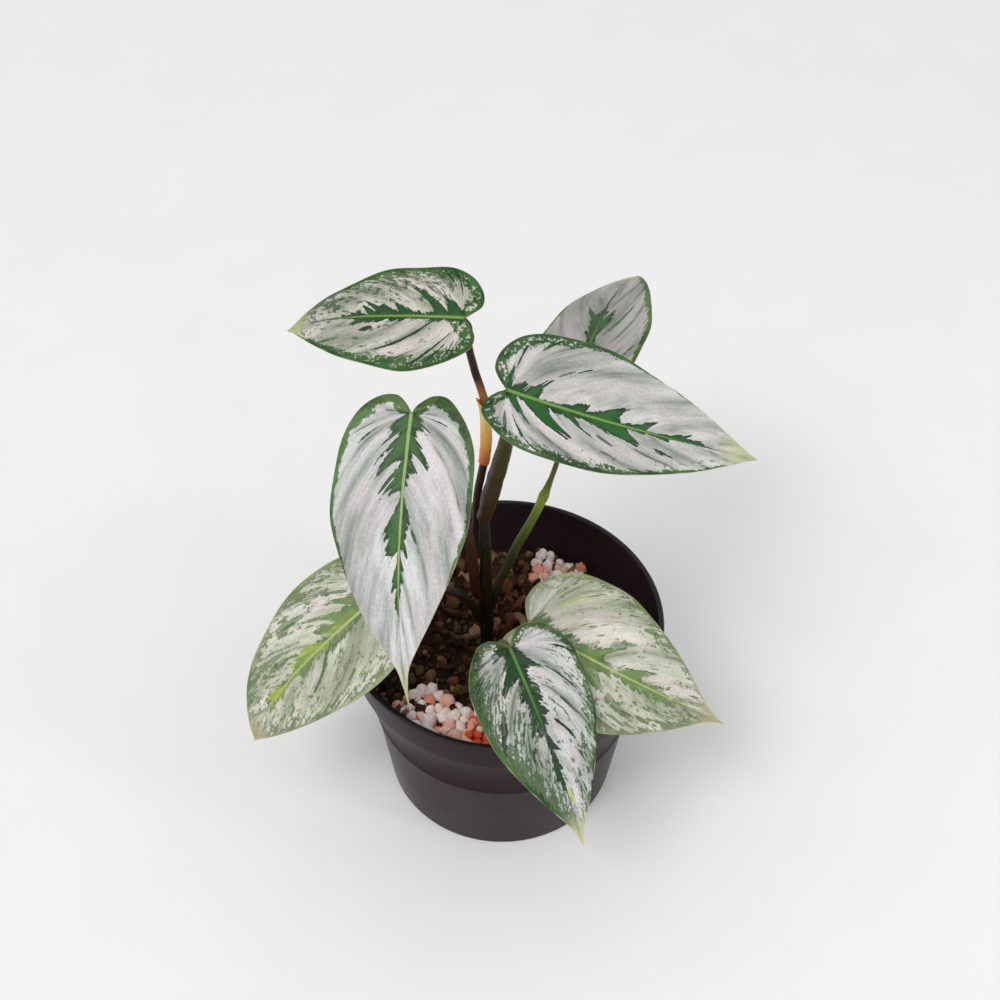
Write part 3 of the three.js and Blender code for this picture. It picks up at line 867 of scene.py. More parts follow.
def face_out(shape: bmesh.types.BMesh) -> None:
    """Turn the mesh's faces outwards."""
    bmesh.ops.recalc_face_normals(shape, faces=list(shape.faces))


def on_circle(side: Vector, other: Vector, turn: float) -> Vector:
    """Return the direction at a turn from one of two square directions towards the other."""
    return math.cos(turn) * side + math.sin(turn) * other


def closed_sheet(
    columns: int,
    rows: int,
    place: Callable[[float, float, bool], Vector],
    spread: float = 1.0,
) -> tuple[bmesh.types.BMesh, list[tuple[float, float, bool]]]:
    """Build a closed sheet with an upper and a lower face from one grid.

    Args:
        columns: faces from side to side.
        rows: faces from end to end.
        place: gives the point in mm for across (-1 to 1), along (0 to 1) and whether it is on top.
        spread: above 1, columns lie closer near the middle.

    Returns:
        The bmesh, in metres, with material 1 on the lower face and the edge, and a record of each
        corner's across, along and side.
    """
    shape = bmesh.new()
    uv = shape.loops.layers.uv.new("veins")
    bmesh.ops.create_grid(shape, x_segments=columns, y_segments=rows, size=1.0)
    lower = set(shape.faces)
    raised = bmesh.ops.extrude_face_region(shape, geom=list(shape.faces), use_keep_orig=True)
    upper = {item for item in raised["geom"] if isinstance(item, bmesh.types.BMFace)}
    on_top = {vert for face in upper for vert in face.verts}
    shape.verts.index_update()
    marks = []
    for vert in shape.verts:
        across = math.copysign(abs(vert.co.x) ** spread, vert.co.x)
        marks.append((across, (vert.co.y + 1) / 2, vert in on_top))
    for face in shape.faces:
        face.material_index = 0 if face in upper else 1
        for loop in face.loops:
            across, along, _ = marks[loop.vert.index]
            loop[uv].uv = ((across + 1) / 2, along)
    for vert, mark in zip(shape.verts, marks):
        vert.co = place(*mark) * MM
    bmesh.ops.reverse_faces(shape, faces=list(lower))
    return shape, marks


def smooth_line(points: Sequence[Sequence[float]], steps: int = 24) -> list[Vector]:
    """Run a smooth line through points, with steps between them timed by their distances.

    Args:
        points: the points in mm.
        steps: samples for each stretch.

    Returns:
        Samples from the first point to the last.
    """
    held = [Vector(point) for point in points]
    held = [2 * held[0] - held[1], *held, 2 * held[-1] - held[-2]]
    samples = []
    for before, start, end, after in zip(held, held[1:], held[2:], held[3:]):
        stretches = ((before, start), (start, end), (end, after))
        first, middle, last = (max((b - a).length ** 0.5, 1e-4) for a, b in stretches)
        ahead = (end - start) / middle
        leave = (start - before) / first - (end - before) / (first + middle) + ahead
        arrive = ahead - (after - start) / (middle + last) + (after - end) / last
        for step in range(steps):
            t = step / steps
            samples.append(
                start * (2 * t**3 - 3 * t**2 + 1)
                + leave * middle * (t**3 - 2 * t**2 + t)
                + end * (3 * t**2 - 2 * t**3)
                + arrive * middle * (t**3 - t**2)
            )
    return [*samples, held[-2]]


class Spine:
    """A smooth line that is read by shares of its length, with a frame that doesn't twist."""

    def __init__(self, points: Sequence[Sequence[float]]) -> None:
        """Measure the line through the points."""
        self.samples = smooth_line(points)
        steps = [(b - a).length for a, b in zip(self.samples, self.samples[1:])]
        self.shares = np.concatenate(([0.0], np.cumsum(steps))) / sum(steps)
        towards = (self.samples[1] - self.samples[0]).normalized()
        self.sides = [towards.cross(Vector((0, 1, 0))).normalized()]
        for before, after in zip(self.samples[1:], self.samples[2:]):
            self.sides.append(self.squared(self.sides[-1], (after - before).normalized()))
        self.sides.append(self.sides[-1])

    @staticmethod
    def squared(side: Vector, ahead: Vector) -> Vector:
        """Return a direction turned square to the line's own."""
        return (side - ahead * side.dot(ahead)).normalized()

    def at(self, share: float) -> tuple[Vector, Vector, Vector]:
        """Return the point at a share of the length, and two directions square to the line."""
        index = int(np.searchsorted(self.shares, share, side="right")) - 1
        index = min(max(index, 0), len(self.samples) - 2)
        low, high = self.shares[index : index + 2]
        start, end = self.samples[index : index + 2]
        part = (share - low) / (high - low)
        ahead = (end - start).normalized()
        side = self.squared(self.sides[index].lerp(self.sides[index + 1], part), ahead)
        return start.lerp(end, part), side, ahead.cross(side)


def tube(
    spine: Spine, radius: Callable[[float, float], float], sides: int, rings: int
) -> bmesh.types.BMesh:
    """Bend a round bar along a spine.

    Args:
        spine: the middle line, in mm.
        radius: gives the radius in mm for a share of the length and of the way round.
        sides: faces round the bar.
        rings: faces along the bar.

    Returns:
        The closed bar, in metres.
    """
    shape = bmesh.new()
    uv = shape.loops.layers.uv.new("skin")
    bmesh.ops.create_grid(shape, x_segments=sides, y_segments=rings, size=1.0)
    for face in shape.faces:
        for loop in face.loops:
            loop[uv].uv = ((loop.vert.co.x + 1) / 2, (loop.vert.co.y + 1) / 2)
    for vert in shape.verts:
        around, share = (vert.co.x + 1) / 2, (vert.co.y + 1) / 2
        point, side, other = spine.at(share)
        out = on_circle(side, other, math.tau * around)
        vert.co = (point + radius(share, around) * out) * MM
    weld(shape)
    ends = [edge for edge in shape.edges if edge.is_boundary]
    bmesh.ops.holes_fill(shape, edges=ends, sides=0)
    face_out(shape)
    return shape


def turned(profile: Sequence[tuple[float, float]], segments: int) -> bmesh.types.BMesh:
    """Turn a profile round the upright axis.

    Args:
        profile: (radius, height) pairs in mm; the first and last lie on the axis.
        segments: faces round the axis.

    Returns:
        The closed shape, in metres.
    """
    shape = bmesh.new()
    rail = [shape.verts.new((radius * MM, 0, height * MM)) for radius, height in profile]
    geom = rail + [shape.edges.new(pair) for pair in zip(rail, rail[1:])]
    turn = {"cent": (0, 0, 0), "axis": (0, 0, 1), "angle": math.tau, "steps": segments}
    bmesh.ops.spin(shape, geom=geom, use_merge=True, **turn)
    weld(shape)
    face_out(shape)
    return shape


# The pot


@dataclass
class Pot:
    """The moulded nursery pot, in mm."""

    rim_radius: float = 52.5
    height: float = 75.0
    foot_radius: float = 39.4
    wall: float = 1.2
    rim_wall: float = 1.7
    rim_band: float = 0.6
    floor: float = 1.8
    collar_depth: float = 14.0
    collar_step: float = 0.5
    collar_radius: float = 50.4
    ridge_height: float = 37.5
    ridge_radius: float = 43.8
    ridge_rise: float = 0.5
    drain_radius: float = 3.6
    drain_circle: float = 30.0
    drain_band: float = 6.0
    drain_holes: int = 6
    segments: int = 160
    sharp: float = 30.0
    finish: PlainFinish = PlainFinish(
        name="pot_plastic", dark=paint(38, 26, 29), light=paint(48, 36, 39),
        roughness=(0.22, 0.32), cloud=26.0, grain=0.7, relief=0.01, specular=0.035,
    )
    # The top of the rim is glossier, and its darker colour is painted shade
    shaded_rim_finish: PlainFinish = PlainFinish(
        name="pot_rim", dark=paint(18, 15, 20), light=paint(26, 22, 28), roughness=(0.14, 0.22),
        cloud=9.0, grain=0.7, relief=0.01, specular=0.3,
    )

    def inside_radius(self, height: float) -> float:
        """Return the wall's inside radius at a height below the collar."""
        foot, ridge = (0.0, self.foot_radius), (self.ridge_height, self.ridge_radius)
        collar = (self.height - self.collar_depth, self.collar_radius - self.collar_step)
        return stepped((foot, ridge, collar), height) - self.wall

    def profile(self) -> list[tuple[float, float]]:
        """Return the wall's outline from the middle of the underside round to the inner floor."""
        top, rim, foot, floor = self.height, self.rim_radius, self.foot_radius, self.floor
        collar_foot, collar = top - self.collar_depth, self.collar_radius
        ridge, ridge_foot = self.ridge_radius, self.ridge_height
        drains = (self.drain_circle - self.drain_band, self.drain_circle + self.drain_band)
        return [
            (0, 0), (drains[0], 0), (drains[1], 0),
            (foot - 1, 0), (foot - 0.3, 0.3), (foot, 1),
            (ridge - 0.05, ridge_foot - 1.0),
            (ridge + self.ridge_rise, ridge_foot),
            (ridge + self.ridge_rise, ridge_foot + 0.7),
            (ridge + 0.3, ridge_foot + 1.5),
            (collar - self.collar_step, collar_foot),
            (collar - 0.1, collar_foot + 0.2),
            (collar, collar_foot + 0.7),
            (rim - 0.55, top - 2.0), (rim - 0.1, top - 1.5), (rim, top - 1.0),
            (rim, top - 0.55), (rim - 0.2, top - 0.15), (rim - 0.6, top),
            (rim - self.rim_wall + 0.4, top),
            (rim - self.rim_wall, top - 0.4),
            (collar - self.wall + 0.05, collar_foot + 1),
            *((self.inside_radius(z), z) for z in (collar_foot, ridge_foot, floor + 1.5)),
            (self.inside_radius(floor) - 1.5, floor),
            (drains[1], floor), (drains[0], floor), (0, floor),
        ]

    def drains(self) -> bpy.types.Object:
        """Build the pins that cut the drain holes."""
        shape = bmesh.new()
        for index in range(self.drain_holes):
            angle = math.tau * index / self.drain_holes
            centre = on_circle(Vector((1, 0, 0)), Vector((0, 1, 0)), angle) * self.drain_circle
            bmesh.ops.create_cone(
                shape,
                cap_ends=True,
                segments=24,
                radius1=self.drain_radius * MM,
                radius2=self.drain_radius * MM,
                depth=4 * self.floor * MM,
                matrix=Matrix.Translation(centre * MM),
            )
        return to_scene("drain_pins", to_mesh("drain_pins", shape))

    def build(self) -> None:
        """Build the pot, cut its drain holes and dress it."""
        finishes = [self.finish.material(), self.shaded_rim_finish.material()]
        shape = turned(self.profile(), self.segments)
        pot = to_piece("nursery_pot", shape, finishes, "pot_plastic", "pot")
        pins = self.drains()
        cut = pot.modifiers.new("drains", "BOOLEAN")
        cut.operation = "DIFFERENCE"
        cut.solver = "EXACT"
        cut.object = pins
        shown = pot.evaluated_get(bpy.context.evaluated_depsgraph_get())
        mesh = bpy.data.meshes.new_from_object(shown)
        pot.modifiers.clear()
        pot.data = mesh
        mesh.name = pot.name
        mesh.set_sharp_from_angle(angle=math.radians(self.sharp))
        # Faces at the top of the rim take the rim finish, with its painted shade
        for face in mesh.polygons:
            face.material_index = int(face.center.z > (self.height - self.rim_band) * MM)
        bpy.data.objects.remove(pins)


# Soil and grains


class Crumb(NamedTuple):
    """One loose grain: where it lies, how large it is and its shade."""

    place: Vector
    size: Vector
    turn: Quaternion
    tone: float


def any_turn(draw: random.Random) -> Quaternion:
    """Return a random rotation."""
    axis = Vector([draw.uniform(-1, 1) for _ in range(3)])
    return Quaternion(axis.normalized(), draw.uniform(0, math.tau))


def heap(
    crumbs: Iterable[Crumb], draw: random.Random, fineness: int, ragged: float
) -> bmesh.types.BMesh:
    """Build a heap of loose grains as one mesh.

    Args:
        crumbs: the grains, in mm.
        draw: the source of random numbers.
        fineness: subdivisions of each grain.
        ragged: how far its corners are moved, as a share of its size.

    Returns:
        The mesh, in metres, with each grain's shade in the tone attribute.
    """
    shape = bmesh.new()
    tone = shape.verts.layers.float.new("tone")
    for crumb in crumbs:
        centre = crumb.place * MM
        moves = Matrix.LocRotScale(centre, crumb.turn, crumb.size * MM)
        made = bmesh.ops.create_icosphere(shape, subdivisions=fineness, radius=0.5, matrix=moves)
        for vert in made["verts"]:
            vert.co = centre + (vert.co - centre) * draw.uniform(1 - ragged, 1 + ragged * 0.4)
            vert[tone] = crumb.tone
    return shape


class Stuff(Enum):
    """What a bed of grains is made of, by its material slot."""

    PUMICE = "pumice"
    CLAY = "clay"


GRAIN_FINISHES = {
    Stuff.PUMICE: GrainFinish(
        name="pumice_grains", dark=paint(196, 150, 140), roughness=(0.75, 0.95), cloud=3.0,
        grain=0.45, relief=0.35, specular=0.3,
        tones=shades(
            (0.0, 255, 252, 252), (0.55, 255, 240, 236), (0.75, 250, 206, 190), (1.0, 232, 106, 66)
        ),
    ),
    Stuff.CLAY: GrainFinish(
        name="clay_chips", dark=paint(110, 36, 22), roughness=(0.7, 0.95), cloud=3.0, grain=0.5,
        relief=0.3, specular=0.3,
        tones=shades(
            (0.0, 246, 116, 66), (0.4, 232, 84, 42), (0.7, 250, 158, 110), (1.0, 255, 232, 220)
        ),
    ),
}


# The beds lie where sunlight fell: real grains, laid bright only there as a painted pool of light
@dataclass
class Bed:
    """A patch of pale grains or clay chips on an arc along the pot's wall.

    Attributes:
        node: the solid that it stands for.
        stuff: what its grains are.
        start, end: its arc in degrees round +Z.
        inner, outer: its radii in mm.
        pitch: how far apart its grains lie in mm.
        seed: picks its random grains.
        strays: share of its grains that are of its other shades.
        level: the soil's height in mm.
        sunk_pitch, sunk_size: the pitch and the usual size of its lowest layer's grains.
        missing: share of its top layer's grains that are left out.
        stray: how far a grain lies from its place in mm.
    """

    node: str
    stuff: Stuff
    start: float
    end: float
    inner: float
    outer: float
    pitch: float
    seed: int
    strays: float = 0.25
    level: float = 56.0
    sunk_pitch: float = 3.4
    sunk_size: float = 4.4
    missing: float = 0.45
    stray: float = 0.9

    def crumbs(self, draw: random.Random) -> Iterable[Crumb]:
        """Return the bed's grains in three layers, the upper ones looser."""
        size = self.pitch * 1.2
        layers = (
            (self.sunk_pitch, -0.2, self.sunk_size, 0.0),
            (self.pitch, 1.6, size, 0.0),
            (self.pitch, 3.0, size, self.missing),
        )
        for pitch, lift, usual, missing in layers:
            for ring in range(int((self.outer - self.inner) / pitch) + 1):
                radius = self.inner + pitch * ring
                cells = max(1, int(math.radians(self.end - self.start) * radius / pitch))
                for cell in range(cells + 1):
                    if missing and draw.random() < missing:
                        continue
                    angle = math.radians(lerp(self.start, self.end, cell / cells))
                    reach = radius + draw.uniform(-self.stray, self.stray)
                    angle += draw.uniform(-self.stray, self.stray) / radius
                    wide = draw.uniform(0.8, 1.35) * usual
                    height = self.level + lift + draw.uniform(-0.4, 0.4)
                    yield Crumb(
                        Vector((reach * math.cos(angle), reach * math.sin(angle), height)),
                        Vector([wide * draw.uniform(0.75, 1.15) for _ in range(3)]),
                        any_turn(draw),
                        draw.uniform(*((0.6, 1.0) if draw.random() < self.strays else (0, 0.5))),
                    )

    def build(self) -> None:
        """Build the bed and dress it."""
        draw = random.Random(self.seed)
        shape = heap(self.crumbs(draw), draw, fineness=2, ragged=0.2)
        finish = GRAIN_FINISHES[self.stuff].material()
        to_piece(f"{self.node}_bed", shape, [finish], self.stuff.value, self.node, sharp=44)


# Painted pools of light: bright grains laid only where sunlight fell on the soil
SUNLIT_BEDS = (
    Bed("pumice_front", Stuff.PUMICE, -143, -106, 29, 43, 3.3, 11, strays=0.38),
    Bed("clay_chips", Stuff.CLAY, -106, -80, 29, 43, 2.8, 23),
    Bed("pumice_back", Stuff.PUMICE, 54, 73, 34, 44, 3.2, 37),
)


@dataclass
class Soil:
    """The soil: one filled body with a bumpy top, and loose bark crumbs on it, in mm."""

    pot: Pot
    level: float = 56.0
    seat: float = 0.3
    foot_slope: float = 1.8
    rings: int = 36
    segments: int = 110
    pitch: float = 2.7
    crumb_sizes: tuple[float, ...] = (0.6, 0.9, 1.1, 1.3, 1.7)
    seed: int = 5
    finish: PlainFinish = PlainFinish(
        name="soil_body", dark=paint(16, 9, 7), light=paint(58, 36, 26), roughness=(0.8, 1.0),
        cloud=6.0, grain=0.8, relief=0.6, specular=0.2,
    )
    crumb_finish: GrainFinish = GrainFinish(
        name="bark_crumbs", dark=paint(20, 12, 8), roughness=(0.7, 1.0), cloud=3.0, grain=0.5,
        relief=0.4, specular=0.25,
        tones=shades(
            (0.0, 34, 20, 14), (0.3, 66, 36, 22), (0.5, 92, 52, 32),
            (0.68, 84, 74, 36), (0.82, 120, 70, 46), (1.0, 150, 118, 84),
        ),
    )

    def top_at(self, x: float, y: float) -> float:
        """Return the soil's height in mm at a point."""
        broad = noise.noise(Vector((x, y, 3)) * 0.09)
        fine = noise.noise(Vector((x, y, 9)) * 0.35)
        return self.level + 1.1 * broad + 0.8 * fine

    def reach_at(self, height: float) -> float:
        """Return the body's radius at a height."""
        return self.pot.inside_radius(height) - self.seat

    def body(self) -> None:
        """Build the filled body."""
        low = self.pot.floor + self.seat
        ridge = self.pot.ridge_height
        reach = self.reach_at(self.level)
        profile = [
            (0, low),
            (self.reach_at(low) - self.foot_slope, low),
            (self.reach_at(low + self.foot_slope), low + self.foot_slope),
            (self.reach_at(ridge), ridge),
            *((reach * ring / self.rings, self.level) for ring in range(self.rings, -1, -1)),
        ]
        shape = turned(profile, self.segments)
        for vert in shape.verts:
            if abs(vert.co.z - self.level * MM) < WELD:
                vert.co.z = self.top_at(vert.co.x / MM, vert.co.y / MM) * MM
        to_piece("soil_body", shape, [self.finish.material()], "soil", "soil")

    def crumbs(self, draw: random.Random) -> Iterable[Crumb]:
        """Return the loose crumbs, in a jittered grid over the whole top."""
        reach = self.pot.inside_radius(self.level) - 1.6
        cells = range(-int(reach / self.pitch), int(reach / self.pitch) + 1)
        for row in cells:
            for column in cells:
                x = (column + draw.uniform(-0.5, 0.5)) * self.pitch
                y = (row + draw.uniform(-0.5, 0.5)) * self.pitch
                wide = self.pitch * draw.choice(self.crumb_sizes)
                size = Vector([wide * draw.uniform(0.5, 1.5) for _ in range(3)])
                place = Vector((x, y, self.top_at(x, y) + wide * draw.uniform(0.05, 0.4)))
                crumb = Crumb(place, size, any_turn(draw), draw.random())
                if math.hypot(x, y) < reach:
                    yield crumb

    def build(self) -> None:
        """Build the body and its crumbs."""
        self.body()
        draw = random.Random(self.seed)
        shape = heap(self.crumbs(draw), draw, fineness=1, ragged=0.3)
        to_piece("bark_crumbs", shape, [self.crumb_finish.material()], "soil", sharp=36)


# Leaves


PLAIN_OUTLINE: Line = (
    (0.0, 0.0), (0.1, -0.035), (0.3, -0.068), (0.55, -0.06), (0.78, -0.005), (0.94, 0.09),
    (1.0, 0.21), (0.97, 0.34), (0.88, 0.46), (0.74, 0.58), (0.56, 0.7), (0.36, 0.81),
    (0.18, 0.9), (0.07, 0.955), (0.0, 1.0),
)
DRIP_OUTLINE: Line = (
    (0.0, 0.0), (0.1, -0.035), (0.28, -0.066), (0.52, -0.052), (0.78, 0.02), (0.95, 0.12),
    (1.0, 0.24), (0.98, 0.36), (0.86, 0.47), (0.7, 0.58), (0.48, 0.69), (0.25, 0.79),
    (0.1, 0.86), (0.04, 0.92), (0.0, 1.0),
)


class Step(NamedTuple):
    """One step of a midrib: its point and its forward, up and sideways directions."""

    point: Vector
    forward: Vector
    up: Vector
    side: Vector


@dataclass
class Leaf:
    """One heart-shaped blade, in mm and degrees.

    Attributes:
        name: the leaf's name.
        base: the notch where the stalk meets the blade.
        length: from the notch to the tip.
        left, right: half widths.
        heading: turns from +Y towards +X.
        rise: lift of the midrib at its base.
        droop, swing: how far the midrib bends down and sideways by its tip.
        roll: tips the blade about its midrib.
        fold_left, fold_right: lift of each half.
        curl: how far the halves bend down again.
        drip: 1 for a long drip tip, 0 for a plain one.
        wave: shifts the waves of its edge.
        finish: its colours and marking.
        steps: the bent midrib.
    """

    name: str
    base: tuple[float, float, float]
    length: float
    left: float
    right: float
    heading: float
    rise: float
    droop: float
    swing: float
    roll: float
    fold_left: float
    fold_right: float
    curl: float
    drip: float
    wave: float
    finish: LeafFinish
    steps: list[Step] = field(default_factory=list)

    BEND_STEPS = 40
    VEIN_START = 0.3
    VEIN_SWEEP = 1.9
    VEIN_SPREAD = 0.8
    VEIN_LEAN = 0.3
    READ_LEAN = 0.45
    LOBE_DROP = 0.16
    EDGE_WAVES = 2.6
    EDGE_WAVE_HEIGHT = 0.7
    SIDE_VEINS = 12.0
    THICKNESS = 0.55
    EDGE_THICKNESS = 0.32
    QUILT = 0.7
    COLUMNS = 60
    COLUMN_SPREAD = 1.25
    ROWS = 150
    EDGE_STEPS = 140

    def __post_init__(self) -> None:
        """Bend the midrib in short steps."""
        heading, rise = math.radians(self.heading), math.radians(self.rise)
        level, above = Vector((math.sin(heading), math.cos(heading), 0)), Vector((0, 0, 1))
        forward = on_circle(level, above, rise)
        up = on_circle(above, -level, rise)
        up.rotate(Quaternion(forward, math.radians(self.roll)))
        point = Vector(self.base)
        for step in range(self.BEND_STEPS + 1):
            side = forward.cross(up)
            self.steps.append(Step(point.copy(), forward.copy(), up.copy(), side))
            share = (step + 0.5) / self.BEND_STEPS
            down = Quaternion(side, -math.radians(self.droop) * 2 * share / self.BEND_STEPS)
            forward.rotate(down)
            up.rotate(down)
            forward.rotate(Quaternion(up, -math.radians(self.swing) / self.BEND_STEPS))
            point = point + forward * (self.length / self.BEND_STEPS)

    def edge_at(self, along: float) -> Vector:
        """Return a point of the flat outline, as shares of half width and length."""
        last = len(PLAIN_OUTLINE) - 1
        index = min(int(last * along), last)
        part = last * along - index
        near = [min(max(index + shift, 0), last) for shift in (-1, 0, 1, 2)]
        before, start, end, after = (
            Vector(PLAIN_OUTLINE[i]).lerp(Vector(DRIP_OUTLINE[i]), self.drip) for i in near
        )
        leave, arrive = (end - before) / 2, (after - start) / 2
        return (
            (2 * start - 2 * end + leave + arrive) * part**3
            + (-3 * start + 3 * end - 2 * leave - arrive) * part**2
            + leave * part
            + start
        )

    def flat(self, across: float, along: float) -> Vector:
        """Return a point of the flat blade, on a side vein that swings out to the edge."""
        edge = self.edge_at(along)
        past = max(0.0, (edge.y - self.VEIN_START) / (1 - self.VEIN_START))
        root = past**self.VEIN_SWEEP if along > self.VEIN_START else 0.0
        bend = Vector((edge.x * self.VEIN_SPREAD, lerp(root, edge.y, self.VEIN_LEAN)))
        out = abs(across)
        return Vector((0, root)) * (1 - out) ** 2 + bend * 2 * out * (1 - out) + edge * out**2

    def flat_mm(self, across: float, along: float) -> tuple[float, float]:
        """Return a point of the flat blade as mm out from the midrib and on from the notch."""
        flat = self.flat(across, along)
        return flat.x * (self.right if across > 0 else self.left), flat.y * self.length

    def vein_at(self, share: float, side: int, out: float = 0.0) -> float:
        """Return the number of the vein through a mark.

        Args:
            share: the share of the midrib where the mark's vein starts, or below 0 in a lobe.
            side: 1 on the right half and -1 on the left.
            out: the share of the vein where the mark lies. Marks were read off with straighter
                veins, so the vein that passes there starts a little further along.

        Returns:
            The vein's number, from 0 at the notch to 1 at the tip.
        """
        rooted = self.VEIN_START + (1 - self.VEIN_START) * max(share, 0.0) ** (1 / self.VEIN_SWEEP)
        low, high = self.VEIN_START, 1.0
        for _ in range(24):
            middle = (low + high) / 2
            low, high = (middle, high) if self.edge_at(middle).y < rooted else (low, middle)
        leaned = (self.READ_LEAN - self.VEIN_LEAN) * (rooted - share) if share > 0 else 0.0
        number = low * (1 + min(share, 0.0)) + 2 * out * (1 - out) * leaned * self.VEIN_SPREAD
        return self.counted(side, min(number, 1.0))

    def waved(self, across: float) -> float:
        """Return the shift of the waves on the half that a point lies on."""
        return self.wave * (1 if across > 0 else 2)

    def counted(self, across: float, along: float) -> float:
        """Return the vein's number with the spacing of the veins made uneven."""
        shift = self.waved(across)
        uneven = 0.011 * math.sin(math.tau * 3.1 * along + shift)
        uneven += 0.005 * math.sin(math.tau * 7.3 * along + 2 * shift)
        return along + uneven * min(1.0, 8 * along, 8 * (1 - along))

    def relief(self, across: float, along: float, out: float, far: float) -> tuple[float, float]:
        """Return how far veins lift the upper and the lower face, in mm.

        Args:
            across, along: the point's place among the veins.
            out, far: its place on the flat blade in mm.

        Returns:
            The lift of the upper and of the lower face.
        """
        inside = min(1.0, (1 - abs(across)) * 4)
        quilt = min(1.0, abs(across) * 5) * inside * min(1.0, math.hypot(out, far) / 16)
        bulge = math.sin(math.pi * (self.counted(across, along) * self.SIDE_VEINS + 0.5)) ** 2
        channel = math.exp(-((out / 0.75) ** 2)) * (1 - 0.75 * max(far / self.length, 0))
        spot = Vector((out, far, self.wave * 9)) * 0.16
        strength = 0.8 + 0.9 * noise.noise(spot * 0.7)
        lifted = self.QUILT * strength * quilt * (bulge - 0.5) + 0.16 * noise.noise(spot) * inside
        return lifted - 0.3 * channel, lifted - 0.75 * channel - 0.12 * quilt * (1 - bulge)

    def place(self, across: float, along: float, on_top: bool) -> Vector:
        """Return a point of the blade in mm."""
        out, far = self.flat_mm(across, along)
        is_right = across > 0
        half_width = self.right if is_right else self.left
        fold = math.radians(self.fold_right if is_right else self.fold_left)
        behind = min(far, 0.0)
        share = far / self.length
        spot = min(max(share, 0.0), 1.0) * self.BEND_STEPS
        index = min(int(spot), self.BEND_STEPS - 1)
        here, after = self.steps[index : index + 2]
        part = spot - index
        wave = math.sin(math.tau * self.EDGE_WAVES * share + self.waved(across))
        over, under = self.relief(across, along, out, far)
        thickness = lerp(self.THICKNESS, self.EDGE_THICKNESS, abs(across) ** 3)
        lift = (
            out * math.sin(fold)
            - self.curl * out * out / half_width
            - behind * behind / (self.LOBE_DROP * self.length)
            + self.EDGE_WAVE_HEIGHT * wave * (out / half_width) ** 2
            + (over if on_top else under - thickness)
        )
        return (
            here.point.lerp(after.point, part)
            + here.forward * behind
            + here.side.lerp(after.side, part) * ((out if is_right else -out) * math.cos(fold))
            + here.up.lerp(after.up, part) * lift
        )

    def edge_line(self, half_width: float) -> np.ndarray:
        """Return the outline of one half in mm as rows of (out, along)."""
        points = [self.edge_at(i / self.EDGE_STEPS) for i in range(self.EDGE_STEPS + 1)]
        return np.array([(p.x * half_width, p.y * self.length) for p in points])

    def build(self, under: bpy.types.Material) -> None:
        """Build the blade and dress it, with the underside's material below."""
        shape, marks = closed_sheet(self.COLUMNS, self.ROWS, self.place, self.COLUMN_SPREAD)
        blade = shape.verts.layers.float_vector.new("blade")
        outlines = {True: self.edge_line(self.right), False: self.edge_line(self.left)}
        veins = shape.loops.layers.uv["veins"]
        for face in shape.faces:
            for loop in face.loops:
                u, v = loop[veins].uv
                loop[veins].uv = (u, self.counted(2 * u - 1, v))
        for vert, (across, along, _) in zip(shape.verts, marks):
            out, far = self.flat_mm(across, along)
            to_edge = float(np.min(np.hypot(*(outlines[across > 0] - (out, far)).T)))
            vert[blade] = (math.copysign(out, across), far / self.length, to_edge)
        weld(shape)
        finishes = [self.finish.material(self), under]
        to_piece(f"blade_{self.name}", shape, finishes, "leaf", f"leaf_{self.name}", sharp=70)


# Leaf colours: a young silver blade, and the older, paler one that OLDER turns it into

OLDER = {
    "silver": paint(226, 226, 213),
    "blush": paint(230, 218, 218),
    "shade": paint(146, 154, 128),
    "fold": paint(122, 134, 102),
    "crease": paint(94, 108, 74),
    "margin": paint(104, 124, 78),
    "margin_far": paint(158, 166, 132),
    "fleck": paint(100, 116, 78),
    "heart": paint(66, 100, 44),
    "heart_far": paint(94, 128, 54),
    "midrib": paint(172, 184, 116),
    "glow": paint(158, 176, 60),
    "tip": paint(182, 174, 138),
    "rim": paint(150, 152, 112),
    "cover": 0.85,
    "mottle": 1.0,
    "broken": 1.0,
    "dashes": 0.9,
}
THIN = ((-1, 0.9), (-0.4, 1.4), (0, 1.1), (0.4, 0.7), (1, 0.2))
BROAD = (
    (-1, 1.5), (-0.6, 3.2), (-0.35, 3.3), (-0.2, 2), (0, 1.3), (0.08, 0.8), (0.2, 0.25),
    (1, 0),
)
FRONT = LeafFinish(
    seed=7.7,
    left=Half(
        islands=0.12, creases=0.25,
        margin=(
            (-1, 1.5), (-0.6, 3.3), (-0.4, 3.4), (-0.2, 2), (0, 1.4), (0.1, 0.8), (0.25, 0.2),
            (1, 0),
        ),
        reach=percent(
            (-100, 5), (-40, 6), (-20, 8), (0, 12), (2, 17), (3.5, 7), (6, 20), (7.5, 38),
            (9, 24), (10, 24), (11.2, 6), (12.5, 6), (14, 22), (15.5, 12), (17.5, 10), (20, 20),
            (21.5, 8), (23, 3), (26, 3), (28, 14), (31, 20), (34, 16), (37, 18), (40, 24),
            (43, 10), (45, 6), (47, 26), (49, 14), (51, 24), (54, 10), (58, 12), (62, 6), (68, 3),
            (75, 1), (100, 0),
        ),
        strokes=strokes(
            (29, 20, 48, 0.4), (-22, 12, 44, 0.8), (-38, 16, 36, 0.7, 80), (2, 70, 84, 0.5, 70),
        ),
    ),
    right=Half(
        islands=0.22, creases=0.3, margin=BROAD,
        reach=percent(
            (-100, 4), (-30, 6), (0, 8), (2, 20), (3, 20), (4, 10), (5, 20), (6.5, 30), (7.8, 41),
            (9, 38), (10, 24), (12.5, 12), (14, 6), (14.8, 30), (16, 37), (17.2, 28), (18.5, 10),
            (20, 4), (26, 3), (28, 16), (30, 33), (31.5, 28), (33, 38), (35, 41), (37, 30),
            (39, 32), (41, 25), (43, 10), (45.5, 3), (48, 5), (50, 28), (53, 30), (55, 14),
            (60, 16), (66, 10), (70, 2), (100, 0),
        ),
        strokes=strokes((-5, 24, 56, 0.7), (-20, 30, 72, 0.7, 80), (-45, 10, 40, 1, 70)),
    ),
)
